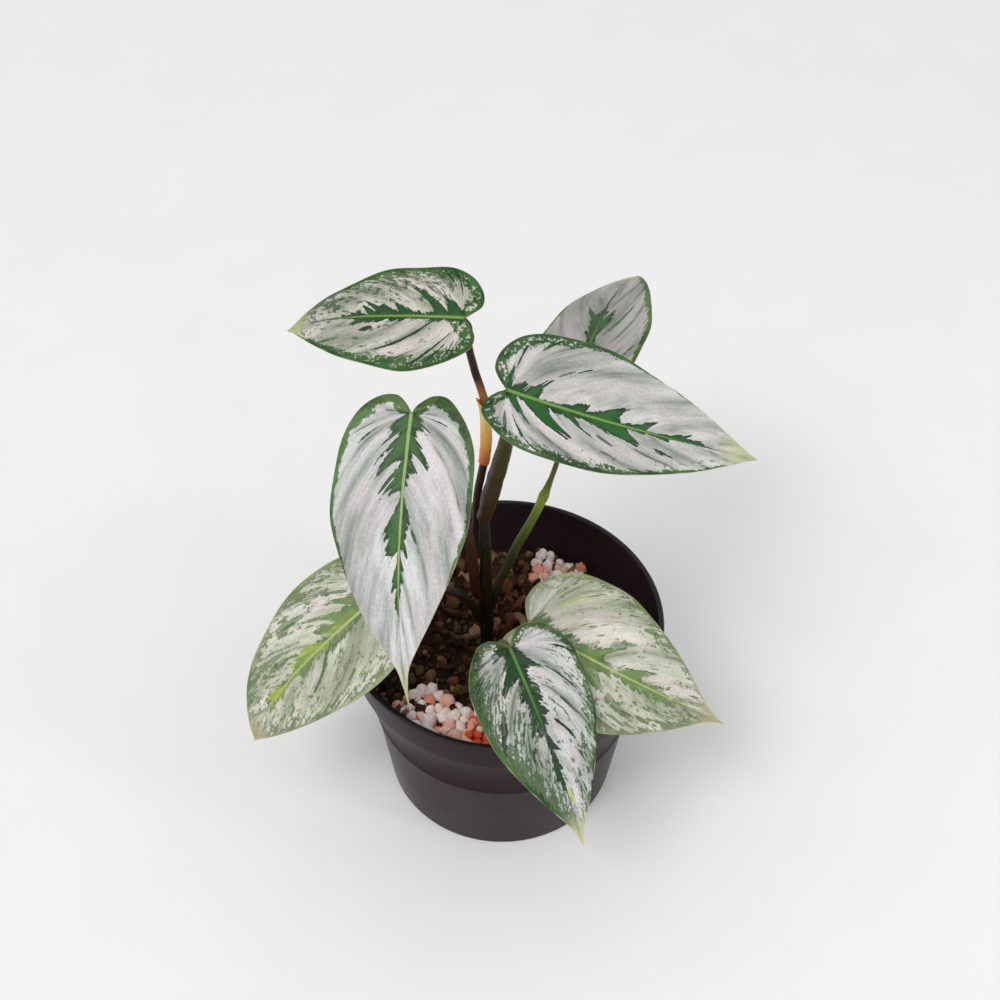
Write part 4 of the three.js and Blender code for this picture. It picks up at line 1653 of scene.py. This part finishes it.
UPPER_LEFT = replace(
    FRONT,
    seed=3.1, mottle=1.0, broken=0.45, dashes=0.7, fleck=paint(56, 88, 44),
    midrib=paint(112, 152, 66), silver=paint(218, 216, 206), blush=paint(222, 208, 206),
    shade=paint(134, 142, 124), margin=paint(18, 66, 8), margin_far=paint(52, 98, 34),
    heart=paint(6, 54, 12), heart_far=paint(12, 74, 22),
    left=Half(
        islands=0.7, creases=0.6,
        margin=(
            (-1, 3), (-0.6, 3.6), (-0.2, 4.2), (0, 4.6), (0.06, 3.6), (0.12, 2.6), (0.25, 1.8),
            (0.45, 1.2), (0.7, 0.5), (1, 0.2),
        ),
        reach=percent(
            (-100, 8), (-30, 10), (0, 8), (5, 5), (10, 12), (16, 6), (25, 10), (33, 12), (38, 20),
            (42, 26), (46, 30), (50, 12), (56, 6), (65, 4), (80, 1), (100, 0),
        ),
        strokes=strokes(
            (9.5, 10, 74, 0.6), (-1, 18, 80, 0.9), (33, 27, 43, 0.6), (-16, 30, 80, 0.9),
            (-32, 35, 70, 0.8, 80), (20, 30, 60, 0.4, 50),
        ),
    ),
    right=Half(
        islands=1.05, creases=0.85,
        margin=(
            (-1, 3), (-0.6, 3.6), (-0.3, 3.4), (-0.15, 2.6), (0, 2), (0.1, 1.5), (0.25, 0.8),
            (0.4, 0.5), (0.7, 0.2), (1, 0),
        ),
        reach=percent(
            (-100, 6), (-30, 10), (-10, 8), (0, 10), (2, 25), (4, 22), (5, 10), (6, 30),
            (7.5, 46), (9, 25), (11, 10), (15, 7), (20, 8), (22, 14), (24.5, 32), (26.5, 16),
            (29, 28), (30.5, 12), (32, 30), (33.5, 46), (34.5, 28), (36, 50), (38, 36), (40, 14),
            (42, 24), (44, 10), (46.5, 8), (49, 26), (51, 14), (53, 26), (55, 10), (59, 16),
            (62, 7), (70, 6), (80, 2), (100, 0),
        ),
        strokes=strokes(
            (-12, 40, 86, 0.9), (-22, 30, 76, 0.9), (-35, 45, 80, 0.7, 80), (7, 50, 74, 0.7, 60),
            (0, 30, 90, 1.6, 40), (13, 40, 86, 1.2, 35), (22, 45, 80, 1, 45),
            (40, 40, 80, 1.2, 35),
        ),
    ),
)
LOWER_LEFT = replace(
    FRONT,
    **OLDER, seed=11.3, midrib_from=0.75, midrib_to=0.92,
    glows=strokes((40, -12, 22, 2.6, 80), (62, -20, 25, 2.4, 80), (20, -6, 10, 3, 50)),
    left=Half(
        islands=0.95, creases=0.45, margin=THIN,
        reach=percent(
            (-100, 10), (0, 10), (10, 8), (20, 10), (25, 16), (28, 12), (33, 12), (38, 18),
            (41, 30), (44, 14), (50, 10), (55, 18), (58, 28), (62, 20), (66, 30), (70, 16),
            (76, 6), (100, 0),
        ),
        strokes=strokes(
            (26, 18, 60, 0.6), (7, 40, 80, 0.7, 50), (15, 30, 60, 0.5, 50), (45, 40, 70, 0.5, 40),
        ),
    ),
    right=Half(
        islands=1, creases=0.4, margin=THIN,
        reach=percent(
            (-100, 10), (-20, 20), (0, 15), (4, 35), (6, 46), (8, 20), (10, 16), (12, 40),
            (14, 54), (16, 20), (19, 22), (22, 28), (25, 20), (30, 16), (35, 22), (40, 16),
            (45, 10), (50, 8), (55, 14), (60, 22), (65, 22), (70, 14), (75, 10), (80, 4),
            (100, 0),
        ),
        strokes=strokes(
            (38, 34, 58, 0.9, 70), (2, 30, 55, 1, 80), (10, 56, 85, 0.8, 70),
            (25, 35, 64, 0.6, 60), (30, 50, 84, 0.7, 60), (-10, 40, 80, 1, 60),
        ),
    ),
)
RIGHT = replace(
    FRONT,
    seed=17.9, mottle=1.0, broken=0.45, silver=paint(218, 218, 214), blush=paint(222, 212, 214),
    margin=paint(16, 60, 14), margin_far=paint(56, 96, 44), heart=paint(8, 54, 14),
    heart_far=paint(26, 88, 26), midrib=paint(112, 152, 72),
    left=Half(
        islands=0.12, creases=0.25,
        margin=(
            (-1, 2.4), (-0.6, 3.4), (-0.3, 3.4), (-0.1, 3), (0, 2.2), (0.04, 1.2), (0.08, 0.6),
            (0.2, 0.35), (0.5, 0.2), (1, 0),
        ),
        reach=percent(
            (-100, 8), (-60, 20), (-45, 36), (-30, 15), (0, 10), (3, 12), (5.5, 20), (7, 14),
            (9, 8), (12, 3), (18, 4), (21, 10), (24, 16), (27, 6), (28.5, 14), (30, 30), (32, 40),
            (34, 26), (36, 20), (39, 12), (42, 5), (45.5, 10), (48, 24), (50, 10), (54, 4),
            (58, 8), (62, 22), (64.5, 28), (67, 14), (70, 16), (73, 20), (76, 8), (82, 3),
            (100, 0),
        ),
        strokes=strokes(
            (-33, 25, 64, 1.3), (4.5, 30, 48, 0.7, 70), (5.5, 46, 62, 0.3), (-12, 50, 82, 0.5),
            (-55, 50, 80, 0.8, 70),
        ),
    ),
    right=Half(
        islands=0.42, creases=0.7,
        margin=(
            (-1, 3), (-0.5, 3.2), (-0.2, 3.2), (0, 2.8), (0.08, 2), (0.2, 1.3), (0.4, 0.9),
            (0.7, 0.4), (1, 0),
        ),
        reach=percent(
            (-100, 6), (-40, 12), (-15, 10), (-5, 12), (1, 26), (2.5, 8), (4.5, 30), (7, 46),
            (9, 40), (11, 14), (14, 10), (16.5, 36), (18.5, 12), (22, 10), (26, 16), (29, 20),
            (32, 30), (35, 40), (38, 30), (41, 16), (45, 6), (49, 10), (52, 4), (57, 14), (62, 4),
            (75, 3), (90, 1), (100, 0),
        ),
        strokes=strokes(
            (-12, 24, 84, 1.2), (40, 44, 70, 1), (13, 60, 74, 0.7, 60), (20, 34, 52, 0.4, 80),
            (-30, 30, 70, 1.2, 80), (30, 50, 70, 0.4, 50), (1, 40, 78, 0.6, 60),
        ),
    ),
)
# Painted shade: the back leaf's silver, folds and midrib are darker, as it stands behind the rest
SHADED_BACK = replace(
    FRONT,
    seed=23.3, silver=paint(186, 184, 182), blush=paint(192, 178, 188),
    shade=paint(124, 132, 118), fold=paint(100, 106, 92), heart=paint(22, 62, 20),
    midrib=paint(90, 116, 60), midrib_from=0.2, midrib_to=0.6,
    left=Half(
        islands=0.1, creases=0.1,
        margin=((-1, 2), (0, 1.2), (0.15, 0.6), (0.4, 0.2), (1, 0)),
        reach=percent(
            (-100, 10), (0, 10), (25, 8), (28, 12), (33, 22), (36, 26), (38.5, 44), (41, 20),
            (44, 10), (50, 6), (100, 0),
        ),
    ),
    right=Half(
        islands=0.3, creases=0.4,
        margin=((-1, 2), (0, 2), (0.3, 1.6), (0.7, 1.2), (1, 0)),
        reach=percent(
            (-100, 10), (0, 10), (26, 10), (30, 22), (36, 30), (40, 12), (44, 16), (48, 6),
            (100, 0),
        ),
        strokes=strokes(
            (20, 20, 80, 0.7, 70), (0, 55, 75, 1.2, 70), (62, 5, 50, 1.4, 40),
            (10, 40, 70, 0.4, 60),
        ),
    ),
)
LOWER_RIGHT = replace(
    FRONT,
    **OLDER, seed=29.7, midrib_from=0.7, midrib_to=0.9,
    glows=strokes((4.5, -60, -20, 2.6, 75)),
    left=Half(
        islands=0.7, creases=0.4, margin=THIN,
        reach=percent(
            (-100, 10), (-30, 10), (0, 15), (10, 12), (15, 14), (18, 30), (20, 12), (23, 20),
            (26, 34), (28, 20), (31, 8), (36, 6), (39, 12), (42, 32), (45, 44), (48, 24),
            (51, 14), (55, 16), (59, 28), (62, 14), (67, 8), (75, 6), (85, 3), (100, 0),
        ),
        strokes=strokes(
            (-10, 30, 70, 0.8, 50), (22, 30, 60, 0.5, 60), (15, 80, 93, 0.6, 80),
            (-30, 50, 90, 0.8, 50),
        ),
    ),
    right=Half(
        islands=1, creases=0.4, margin=THIN,
        reach=percent(
            (-100, 10), (0, 15), (10, 20), (18, 30), (24, 44), (28, 20), (32, 12), (36, 14),
            (40, 22), (44, 30), (50, 26), (55, 32), (60, 36), (65, 30), (70, 16), (80, 5),
            (100, 0),
        ),
        strokes=strokes((25, 40, 85, 1.4, 60), (46, 50, 80, 0.8, 50)),
    ),
)
FRONT_RIGHT = replace(
    FRONT,
    seed=31.1, mottle=1.0, broken=0.7, dashes=1.0, fleck=paint(58, 88, 44),
    fold=paint(96, 112, 86), margin=paint(18, 58, 12), margin_far=paint(74, 102, 56),
    heart=paint(8, 40, 8), heart_far=paint(10, 62, 10), midrib=paint(84, 132, 60),
    rim=paint(150, 164, 100), tip=paint(206, 206, 170), midrib_from=0.15, midrib_to=0.5,
    glows=strokes((70, -40, -2, 1.2, 80)),
    left=Half(
        islands=0.75, creases=0.6,
        margin=(
            (-1, 1.6), (-0.5, 2.3), (-0.2, 1.9), (0, 2), (0.1, 1.4), (0.25, 0.8), (0.5, 0.4),
            (1, 0),
        ),
        reach=percent(
            (-100, 6), (-30, 6), (0, 8), (3, 10), (5, 24), (7, 10), (10, 9), (14, 11), (17, 17),
            (20, 13), (23, 12), (25.5, 24), (28, 16), (31, 14), (33.5, 20), (35.5, 8), (41, 5),
            (43.5, 12), (46, 20), (48, 9), (52, 8), (56, 14), (60, 7), (64, 10), (69, 5), (75, 1),
            (100, 0),
        ),
        strokes=strokes(
            (3, 30, 76, 0.5), (26, 26, 64, 0.5), (12, 45, 70, 0.4, 90), (-15, 42, 90, 0.7),
            (-40, 30, 60, 0.8, 70), (17, 30, 50, 0.3, 80),
        ),
    ),
    right=Half(
        islands=1.45, creases=0.5,
        margin=((-1, 2), (-0.5, 2.8), (0, 3.2), (0.2, 2.4), (0.5, 1.7), (0.8, 0.8), (1, 0.2)),
        reach=percent(
            (-100, 20), (-50, 40), (-20, 20), (0, 16), (3, 20), (4.5, 36), (6, 34), (7.5, 20),
            (9, 14), (12, 10), (15, 14), (17.5, 20), (20, 16), (22.5, 17), (25, 20), (27, 30),
            (29, 36), (31, 26), (34, 18), (37, 20), (40, 8), (43, 5), (47, 8), (51, 16), (54, 26),
            (57, 30), (60, 20), (64, 24), (68, 14), (72, 4), (80, 1), (100, 0),
        ),
        strokes=strokes(
            (-12, 30, 86, 0.9, 70), (6, 50, 90, 1, 80), (20, 30, 60, 0.5, 80),
            (13, 30, 60, 0.4, 70), (30, 38, 62, 0.6, 80), (-35, 30, 80, 1.2, 70),
        ),
    ),
)

LEAVES = (
    Leaf(
        "upper_left", (-12.9, 6, 195.7), length=60.2, left=18.6, right=16.5, heading=-75,
        rise=-10.7, droop=32.1, swing=0.2, roll=-18.4, fold_left=8.9, fold_right=7.3, curl=0.09,
        drip=0, wave=0.4,
        finish=UPPER_LEFT,
    ),
    Leaf(
        "front", (-26.7, -14, 178.1), length=82, left=20.4, right=21.2, heading=186.5, rise=-34.9,
        droop=33.7, swing=-4.9, roll=14, fold_left=5.2, fold_right=5.5, curl=0.09, drip=1,
        wave=1.7,
        finish=FRONT,
    ),
    Leaf(
        "lower_left", (-36.9, -16, 104.7), length=76, left=21, right=19.3, heading=-117.6,
        rise=-31.3, droop=55.8, swing=-7.2, roll=-21.7, fold_left=3.9, fold_right=12.6, curl=0.1,
        drip=0, wave=2.9,
        finish=LOWER_LEFT,
    ),
    Leaf(
        "right", (-0.3, -4, 178.3), length=76.9, left=21.3, right=17.8, heading=99, rise=-16.7,
        droop=13.6, swing=-12.2, roll=23.6, fold_left=5.2, fold_right=12.1, curl=0.04, drip=0,
        wave=4.1,
        finish=RIGHT,
    ),
    Leaf(
        "back", (19.6, 28, 151.2), length=69.6, left=20.9, right=20.4, heading=16.1, rise=6.2,
        droop=37.2, swing=-2.8, roll=-23.5, fold_left=3.2, fold_right=6.3, curl=0.06, drip=0.1,
        wave=5.2,
        finish=SHADED_BACK,
    ),
    Leaf(
        "lower_right", (7.9, -24, 99.9), length=70.6, left=23.6, right=22.5, heading=110.7,
        rise=-21.8, droop=20.9, swing=-10.3, roll=24.4, fold_left=8.5, fold_right=3.4, curl=0.06,
        drip=0.5, wave=0.9,
        finish=LOWER_RIGHT,
    ),
    Leaf(
        "front_right", (2, -38, 106), length=64.7, left=19.4, right=18.2, heading=146.2, rise=-41,
        droop=14, swing=3, roll=0.4, fold_left=4.4, fold_right=5.7, curl=0.07, drip=0.4, wave=3.3,
        finish=FRONT_RIGHT,
    ),
)


# Stem and stalks

APPROACHES = {"lower_right": (2.4, 1.6), "front_right": (3.6, 1.6), "back": (3.6, 1.5)}


@dataclass
class Bar:
    """The stem or a stalk, in mm.

    Attributes:
        node: the solid that it stands for.
        radii: (share of its length, radius) pairs.
        points: its middle line from the root end up.
        finish: its skin.
        slot: the record's material slot.
        knots: shares of its length where it swells a little.
    """

    node: str
    radii: Line
    points: tuple[tuple[float, float, float], ...]
    finish: StalkFinish
    slot: str = "stalk"
    knots: tuple[float, ...] = ()

    SIDES = 24
    RINGS = 90
    USUAL_APPROACH = (5.0, 0.0)
    KNOT_RISE = 0.28
    KNOT_LENGTH = 0.018

    def spine(self, leaf: Leaf | None) -> Spine:
        """Return the middle line, run on to the leaf's notch where there is a leaf."""
        points = [Vector(point) for point in self.points]
        if leaf:
            start = leaf.steps[0]
            below, behind = APPROACHES.get(leaf.name, self.USUAL_APPROACH)
            points.append(start.point - start.up * below - start.forward * behind)
            points.append(start.point - start.up * 0.5 + start.forward * 0.9)
        return Spine(points)

    def radius(self, share: float, around: float) -> float:
        """Return the radius in mm at a share of the length and of the way round."""
        wide = stepped(self.radii, share)
        for knot in self.knots:
            wide += self.KNOT_RISE * math.exp(-(((share - knot) / self.KNOT_LENGTH) ** 2))
        ribs = 0.035 * math.cos(math.tau * around * 5 + 1.3)
        lumps = 0.09 * noise.noise(Vector((share * 14, math.cos(math.tau * around), wide)))
        return wide * (1 + ribs + lumps)

    def build(self, leaf: Leaf | None = None) -> None:
        """Build the bar and dress it, with the leaf that it carries."""
        shape = tube(self.spine(leaf), self.radius, self.SIDES, self.RINGS)
        skin = self.finish.material()
        to_piece(f"{self.node}_skin", shape, [skin], self.slot, self.node, sharp=60)


def stalk(
    name: str,
    radii: Line,
    points: tuple[tuple[float, float, float], ...],
    stops: Stops,
    knots: tuple[float, ...] = (),
    **finish: object,
) -> Bar:
    """Return a leaf's stalk.

    Args:
        name: the leaf's name.
        radii: (share of its length, radius) pairs.
        points: its middle line in mm.
        stops: its colours from the foot up.
        knots: where it swells.
        finish: its skin's other values.

    Returns:
        The stalk.
    """
    skin = StalkFinish(f"stalk_{name}_skin", stops, **finish)
    return Bar(f"stalk_{name}", radii, points, skin, knots=knots)


STEM = Bar(
    "main_stem",
    ((0, 1.9), (0.25, 2.2), (0.6, 2.0), (1, 1.7)),
    ((-4.6, 2.6, 40), (-5.4, 3, 56), (-6.0, 3, 78), (-6.2, 3, 100), (-6.8, 3, 118)),
    StalkFinish(
        "stem_skin",
        shades((0.0, 30, 20, 12), (0.3, 28, 26, 16), (1.0, 40, 36, 22)),
        streak=paint(58, 44, 24),
    ),
    slot="stem", knots=(0.34, 0.62, 0.86),
)
STALKS = {
    "right": stalk(
        "right",
        ((0, 2.3), (0.15, 2.7), (0.45, 2.5), (0.7, 1.9), (0.85, 1.3), (1, 1.2)),
        (
            (-6.8, 3, 118.6), (-5.6, 2.5, 124.7), (-3.5, 2, 136.1), (-1.8, 1, 145.7),
            (-0.1, 0, 155.7), (0.8, 0, 163.5),
        ),
        shades((0.0, 66, 30, 16), (0.12, 56, 44, 16), (0.5, 66, 58, 20), (1.0, 84, 86, 36)),
        streak=paint(36, 30, 10), flush=paint(214, 176, 160), facing=0.62, flushed=0.45,
    ),
    "upper_left": stalk(
        "upper_left",
        ((0, 1.2), (0.4, 1.3), (0.8, 1.15), (1, 1.1)),
        (
            (-9.6, 4.5, 112), (-9.4, 5.8, 118), (-8.9, 6.6, 126), (-7.6, 7, 134),
            (-6.6, 7.2, 142), (-6.3, 7.4, 152), (-6.8, 7.5, 162), (-9.9, 7.5, 175.2),
            (-11.8, 7.2, 186),
        ),
        shades(
            (0.0, 52, 30, 16), (0.55, 60, 36, 18), (0.66, 170, 116, 48),
            (0.72, 52, 30, 16), (1.0, 46, 32, 20),
        ),
    ),
    "back": stalk(
        "back",
        ((0, 1.7), (0.2, 1.6), (0.5, 1.45), (0.58, 0.85), (1, 0.8)),
        (
            (-4.4, 4.6, 74), (-2.6, 7, 80.5), (0.9, 11, 87.4), (3.4, 14, 92.5),
            (7.1, 17, 98.9), (10.8, 20, 106.7), (13.2, 22, 113.4), (15.5, 24, 121),
            (18.2, 26.4, 135),
        ),
        shades(
            (0.0, 34, 26, 14), (0.2, 52, 50, 24), (0.36, 92, 104, 44), (0.48, 138, 158, 60),
            (0.58, 96, 96, 44), (0.7, 90, 78, 42), (1.0, 100, 84, 50),
        ),
        knots=(0.5,), streak=paint(60, 56, 26), flush=paint(190, 196, 96), facing=0.7,
        flushed=0.3,
    ),
    "front": stalk(
        "front",
        ((0, 1.7), (0.4, 1.7), (0.7, 1.3), (1, 1.1)),
        (
            (-8.4, 2.4, 82), (-9.9, 1.2, 94), (-10.6, 0, 106), (-12.0, -2, 118),
            (-16.3, -5, 138.8), (-21.6, -7.5, 158),
        ),
        shades((0.0, 62, 30, 18), (0.3, 66, 40, 20), (1.0, 96, 92, 46)),
    ),
    "lower_left": stalk(
        "lower_left",
        ((0, 1.5), (0.5, 1.3), (1, 1.1)),
        (
            (-8.0, 0.6, 72), (-10.5, -1.6, 82), (-15.8, -5, 92), (-23.3, -9, 98.4),
            (-30.0, -12, 100.4),
        ),
        shades((0.0, 36, 22, 14), (0.5, 48, 34, 20), (1.0, 92, 84, 46)),
    ),
    "lower_right": stalk(
        "lower_right",
        ((0, 1.4), (0.6, 1.2), (1, 1.1)),
        (
            (-1.8, -0.6, 44), (-1.7, -2.4, 56), (-0.6, -6, 67), (0.6, -11, 79),
            (2.1, -15.5, 90.5), (3.9, -19, 98), (5.9, -21.8, 99.6),
        ),
        shades((0.0, 40, 20, 14), (0.6, 72, 34, 24), (0.88, 88, 44, 32), (1.0, 150, 126, 90)),
        streak=paint(50, 20, 14), flush=paint(150, 96, 76), facing=0.6, flushed=0.25,
    ),
    "front_right": stalk(
        "front_right",
        ((0, 1.4), (0.6, 1.2), (1, 1.1)),
        (
            (-4.4, -4.6, 44), (-4.6, -7, 56), (-5.2, -13, 68), (-5.8, -21, 81),
            (-5.4, -28, 92), (-2.8, -33, 99.6),
        ),
        shades((0.0, 36, 20, 12), (0.6, 66, 36, 22), (0.9, 74, 52, 32), (1.0, 110, 112, 66)),
        streak=paint(46, 22, 14), flush=paint(110, 72, 54), facing=0.6, flushed=0.2,
    ),
}


@dataclass
class Sheath:
    """The papery sheath round the foot of the upper left leaf's stalk, in mm and degrees."""

    start: float = 0.32
    end: float = 0.63
    wrap: float = 130.0
    facing: float = 20.0
    thickness: float = 0.3
    gap: float = 0.2
    columns: int = 20
    rows: int = 40
    finish: StalkFinish = StalkFinish(
        "sheath_paper",
        shades(
            (0.0, 214, 100, 30), (0.3, 255, 178, 84), (0.75, 255, 216, 134), (1.0, 232, 150, 66)
        ),
        streak=paint(226, 130, 56), flush=paint(168, 40, 24), facing=0.2, flushed=0.6,
        roughness=0.5, glow=0.3,
    )

    def build(self, stem: Bar, leaf: Leaf) -> None:
        """Build the sheath round its stalk, which carries the leaf, and dress it."""
        spine = stem.spine(leaf)

        def place(across: float, along: float, on_top: bool) -> Vector:
            """Return a point of the sheath in mm."""
            share = lerp(self.start, self.end, along)
            narrowing = max(math.sqrt(max(0.0, 1 - along**3)), 0.08)
            turn = math.radians(self.facing + across * self.wrap * narrowing)
            flare = 0.5 * along * (0.4 + abs(across))
            crinkle = 0.12 * noise.noise(Vector((across * 5, along * 9, 2)))
            wide = stepped(stem.radii, share) + self.gap + flare + crinkle
            wide += self.thickness if on_top else 0.0
            point, side, other = spine.at(share)
            return point + wide * on_circle(side, other, turn)

        shape, _ = closed_sheet(self.columns, self.rows, place)
        weld(shape)
        face_out(shape)
        finishes = [self.finish.material()] * 2
        piece = to_piece("stalk_sheath_paper", shape, finishes, "sheath", "stalk_sheath", sharp=60)
        piece.data.uv_layers["veins"].name = "skin"


# The studio


@dataclass
class Lamp:
    """A square soft light, in metres and watts, that looks at a point of the plant."""

    name: str
    place: tuple[float, float, float]
    size: float
    power: float
    colour: tuple[float, float, float] = (1.0, 1.0, 1.0)
    aim: tuple[float, float, float] = (0.0, 0.0, 0.09)

    def build(self) -> None:
        """Hang the lamp."""
        data = bpy.data.lights.new(self.name, "AREA")
        data.size = self.size
        data.energy = self.power
        data.color = self.colour
        lamp = to_scene(self.name, data)
        lamp.location = self.place
        towards = Vector(self.aim) - Vector(self.place)
        lamp.rotation_euler = towards.to_track_quat("-Z", "Y").to_euler()


@dataclass
class Studio:
    """The camera, a pale floor and soft light, in metres and degrees."""

    lens: float = 57.6
    distance: float = 0.525
    elevation: float = 50.4
    aim: tuple[float, float, float] = (0.0, 0.0, 0.075)
    yaw: float = -0.23
    pitch: float = 4.12
    roll: float = 1.0
    floor_size: float = 6.0
    floor_finish: PlainFinish = PlainFinish(
        name="floor_paper", dark=paint(238, 238, 239), light=paint(243, 243, 243),
        roughness=(0.85, 0.95), cloud=260.0, grain=40.0, relief=0.0, specular=0.1,
    )
    sky: float = 0.68
    lamps: tuple[Lamp, ...] = (
        Lamp("key_light", (-0.9, -1.3, 2.3), 1.0, 31.0, (1.0, 0.98, 0.96)),
        Lamp("side_light", (0.75, -0.35, 0.5), 0.1, 0.9),
    )

    @staticmethod
    def square(ahead: Vector) -> tuple[Vector, Vector]:
        """Return the directions to the right of a view and above it."""
        right = ahead.cross(Vector((0, 0, 1))).normalized()
        return right, right.cross(ahead)

    def camera(self) -> None:
        """Place the camera at the photograph's angle."""
        aim = Vector(self.aim)
        back, above = Vector((0, -1, 0)), Vector((0, 0, 1))
        place = aim + self.distance * on_circle(back, above, math.radians(self.elevation))
        ahead = (aim - place).normalized()
        right, above = self.square(ahead)
        ahead = ahead + math.tan(math.radians(self.yaw)) * right
        ahead = (ahead + math.tan(math.radians(self.pitch)) * above).normalized()
        right, above = self.square(ahead)
        lean = math.radians(self.roll)
        across, upward = on_circle(right, above, lean), on_circle(above, -right, lean)
        data = bpy.data.cameras.new("camera")
        data.lens = self.lens
        data.sensor_width = 36.0
        data.clip_start = 0.01
        camera = to_scene("camera", data)
        turn = Matrix((across, upward, -ahead)).transposed().to_4x4()
        camera.matrix_world = Matrix.Translation(place) @ turn
        bpy.context.scene.camera = camera

    def floor(self) -> None:
        """Lay the pale floor."""
        shape = bmesh.new()
        bmesh.ops.create_grid(shape, x_segments=2, y_segments=2, size=self.floor_size / 2)
        mesh = to_mesh("floor", shape)
        mesh.materials.append(self.floor_finish.material())
        to_scene("floor", mesh)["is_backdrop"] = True

    def build(self) -> None:
        """Set up the whole studio."""
        self.camera()
        self.floor()
        for lamp in self.lamps:
            lamp.build()
        world = bpy.data.worlds.new("studio")
        world.use_nodes = True
        backdrop = world.node_tree.nodes["Background"]
        backdrop.inputs["Color"].default_value = (1.0, 1.0, 1.0, 1.0)
        backdrop.inputs["Strength"].default_value = self.sky
        bpy.context.scene.world = world
        bpy.context.scene.view_settings.view_transform = "Standard"


def main() -> None:
    """Build the studio and the plant, piece by piece."""
    logging.basicConfig(level=logging.INFO, format="%(message)s")
    Groups.build()
    Studio().build()
    LOG.info("studio: camera, floor and lights")
    pot = Pot()
    pot.build()
    LOG.info("pot")
    Soil(pot).build()
    LOG.info("soil and crumbs")
    for bed in SUNLIT_BEDS:
        bed.build()
        LOG.info("bed %s", bed.node)
    under = underside()
    blades = {leaf.name: leaf for leaf in LEAVES}
    for name, leaf in blades.items():
        leaf.build(under)
        LOG.info("leaf %s", name)
    STEM.build()
    LOG.info("stem")
    for name, bar in STALKS.items():
        bar.build(blades[name])
        LOG.info("stalk %s", name)
    Sheath().build(STALKS["upper_left"], blades["upper_left"])
    LOG.info("sheath")
    sizes = {"cad": CAD_BOX, "visual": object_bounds()}
    {key: [list(corner) for corner in box] for key, box in sizes.items()}


if __name__ == "__main__":
    main()
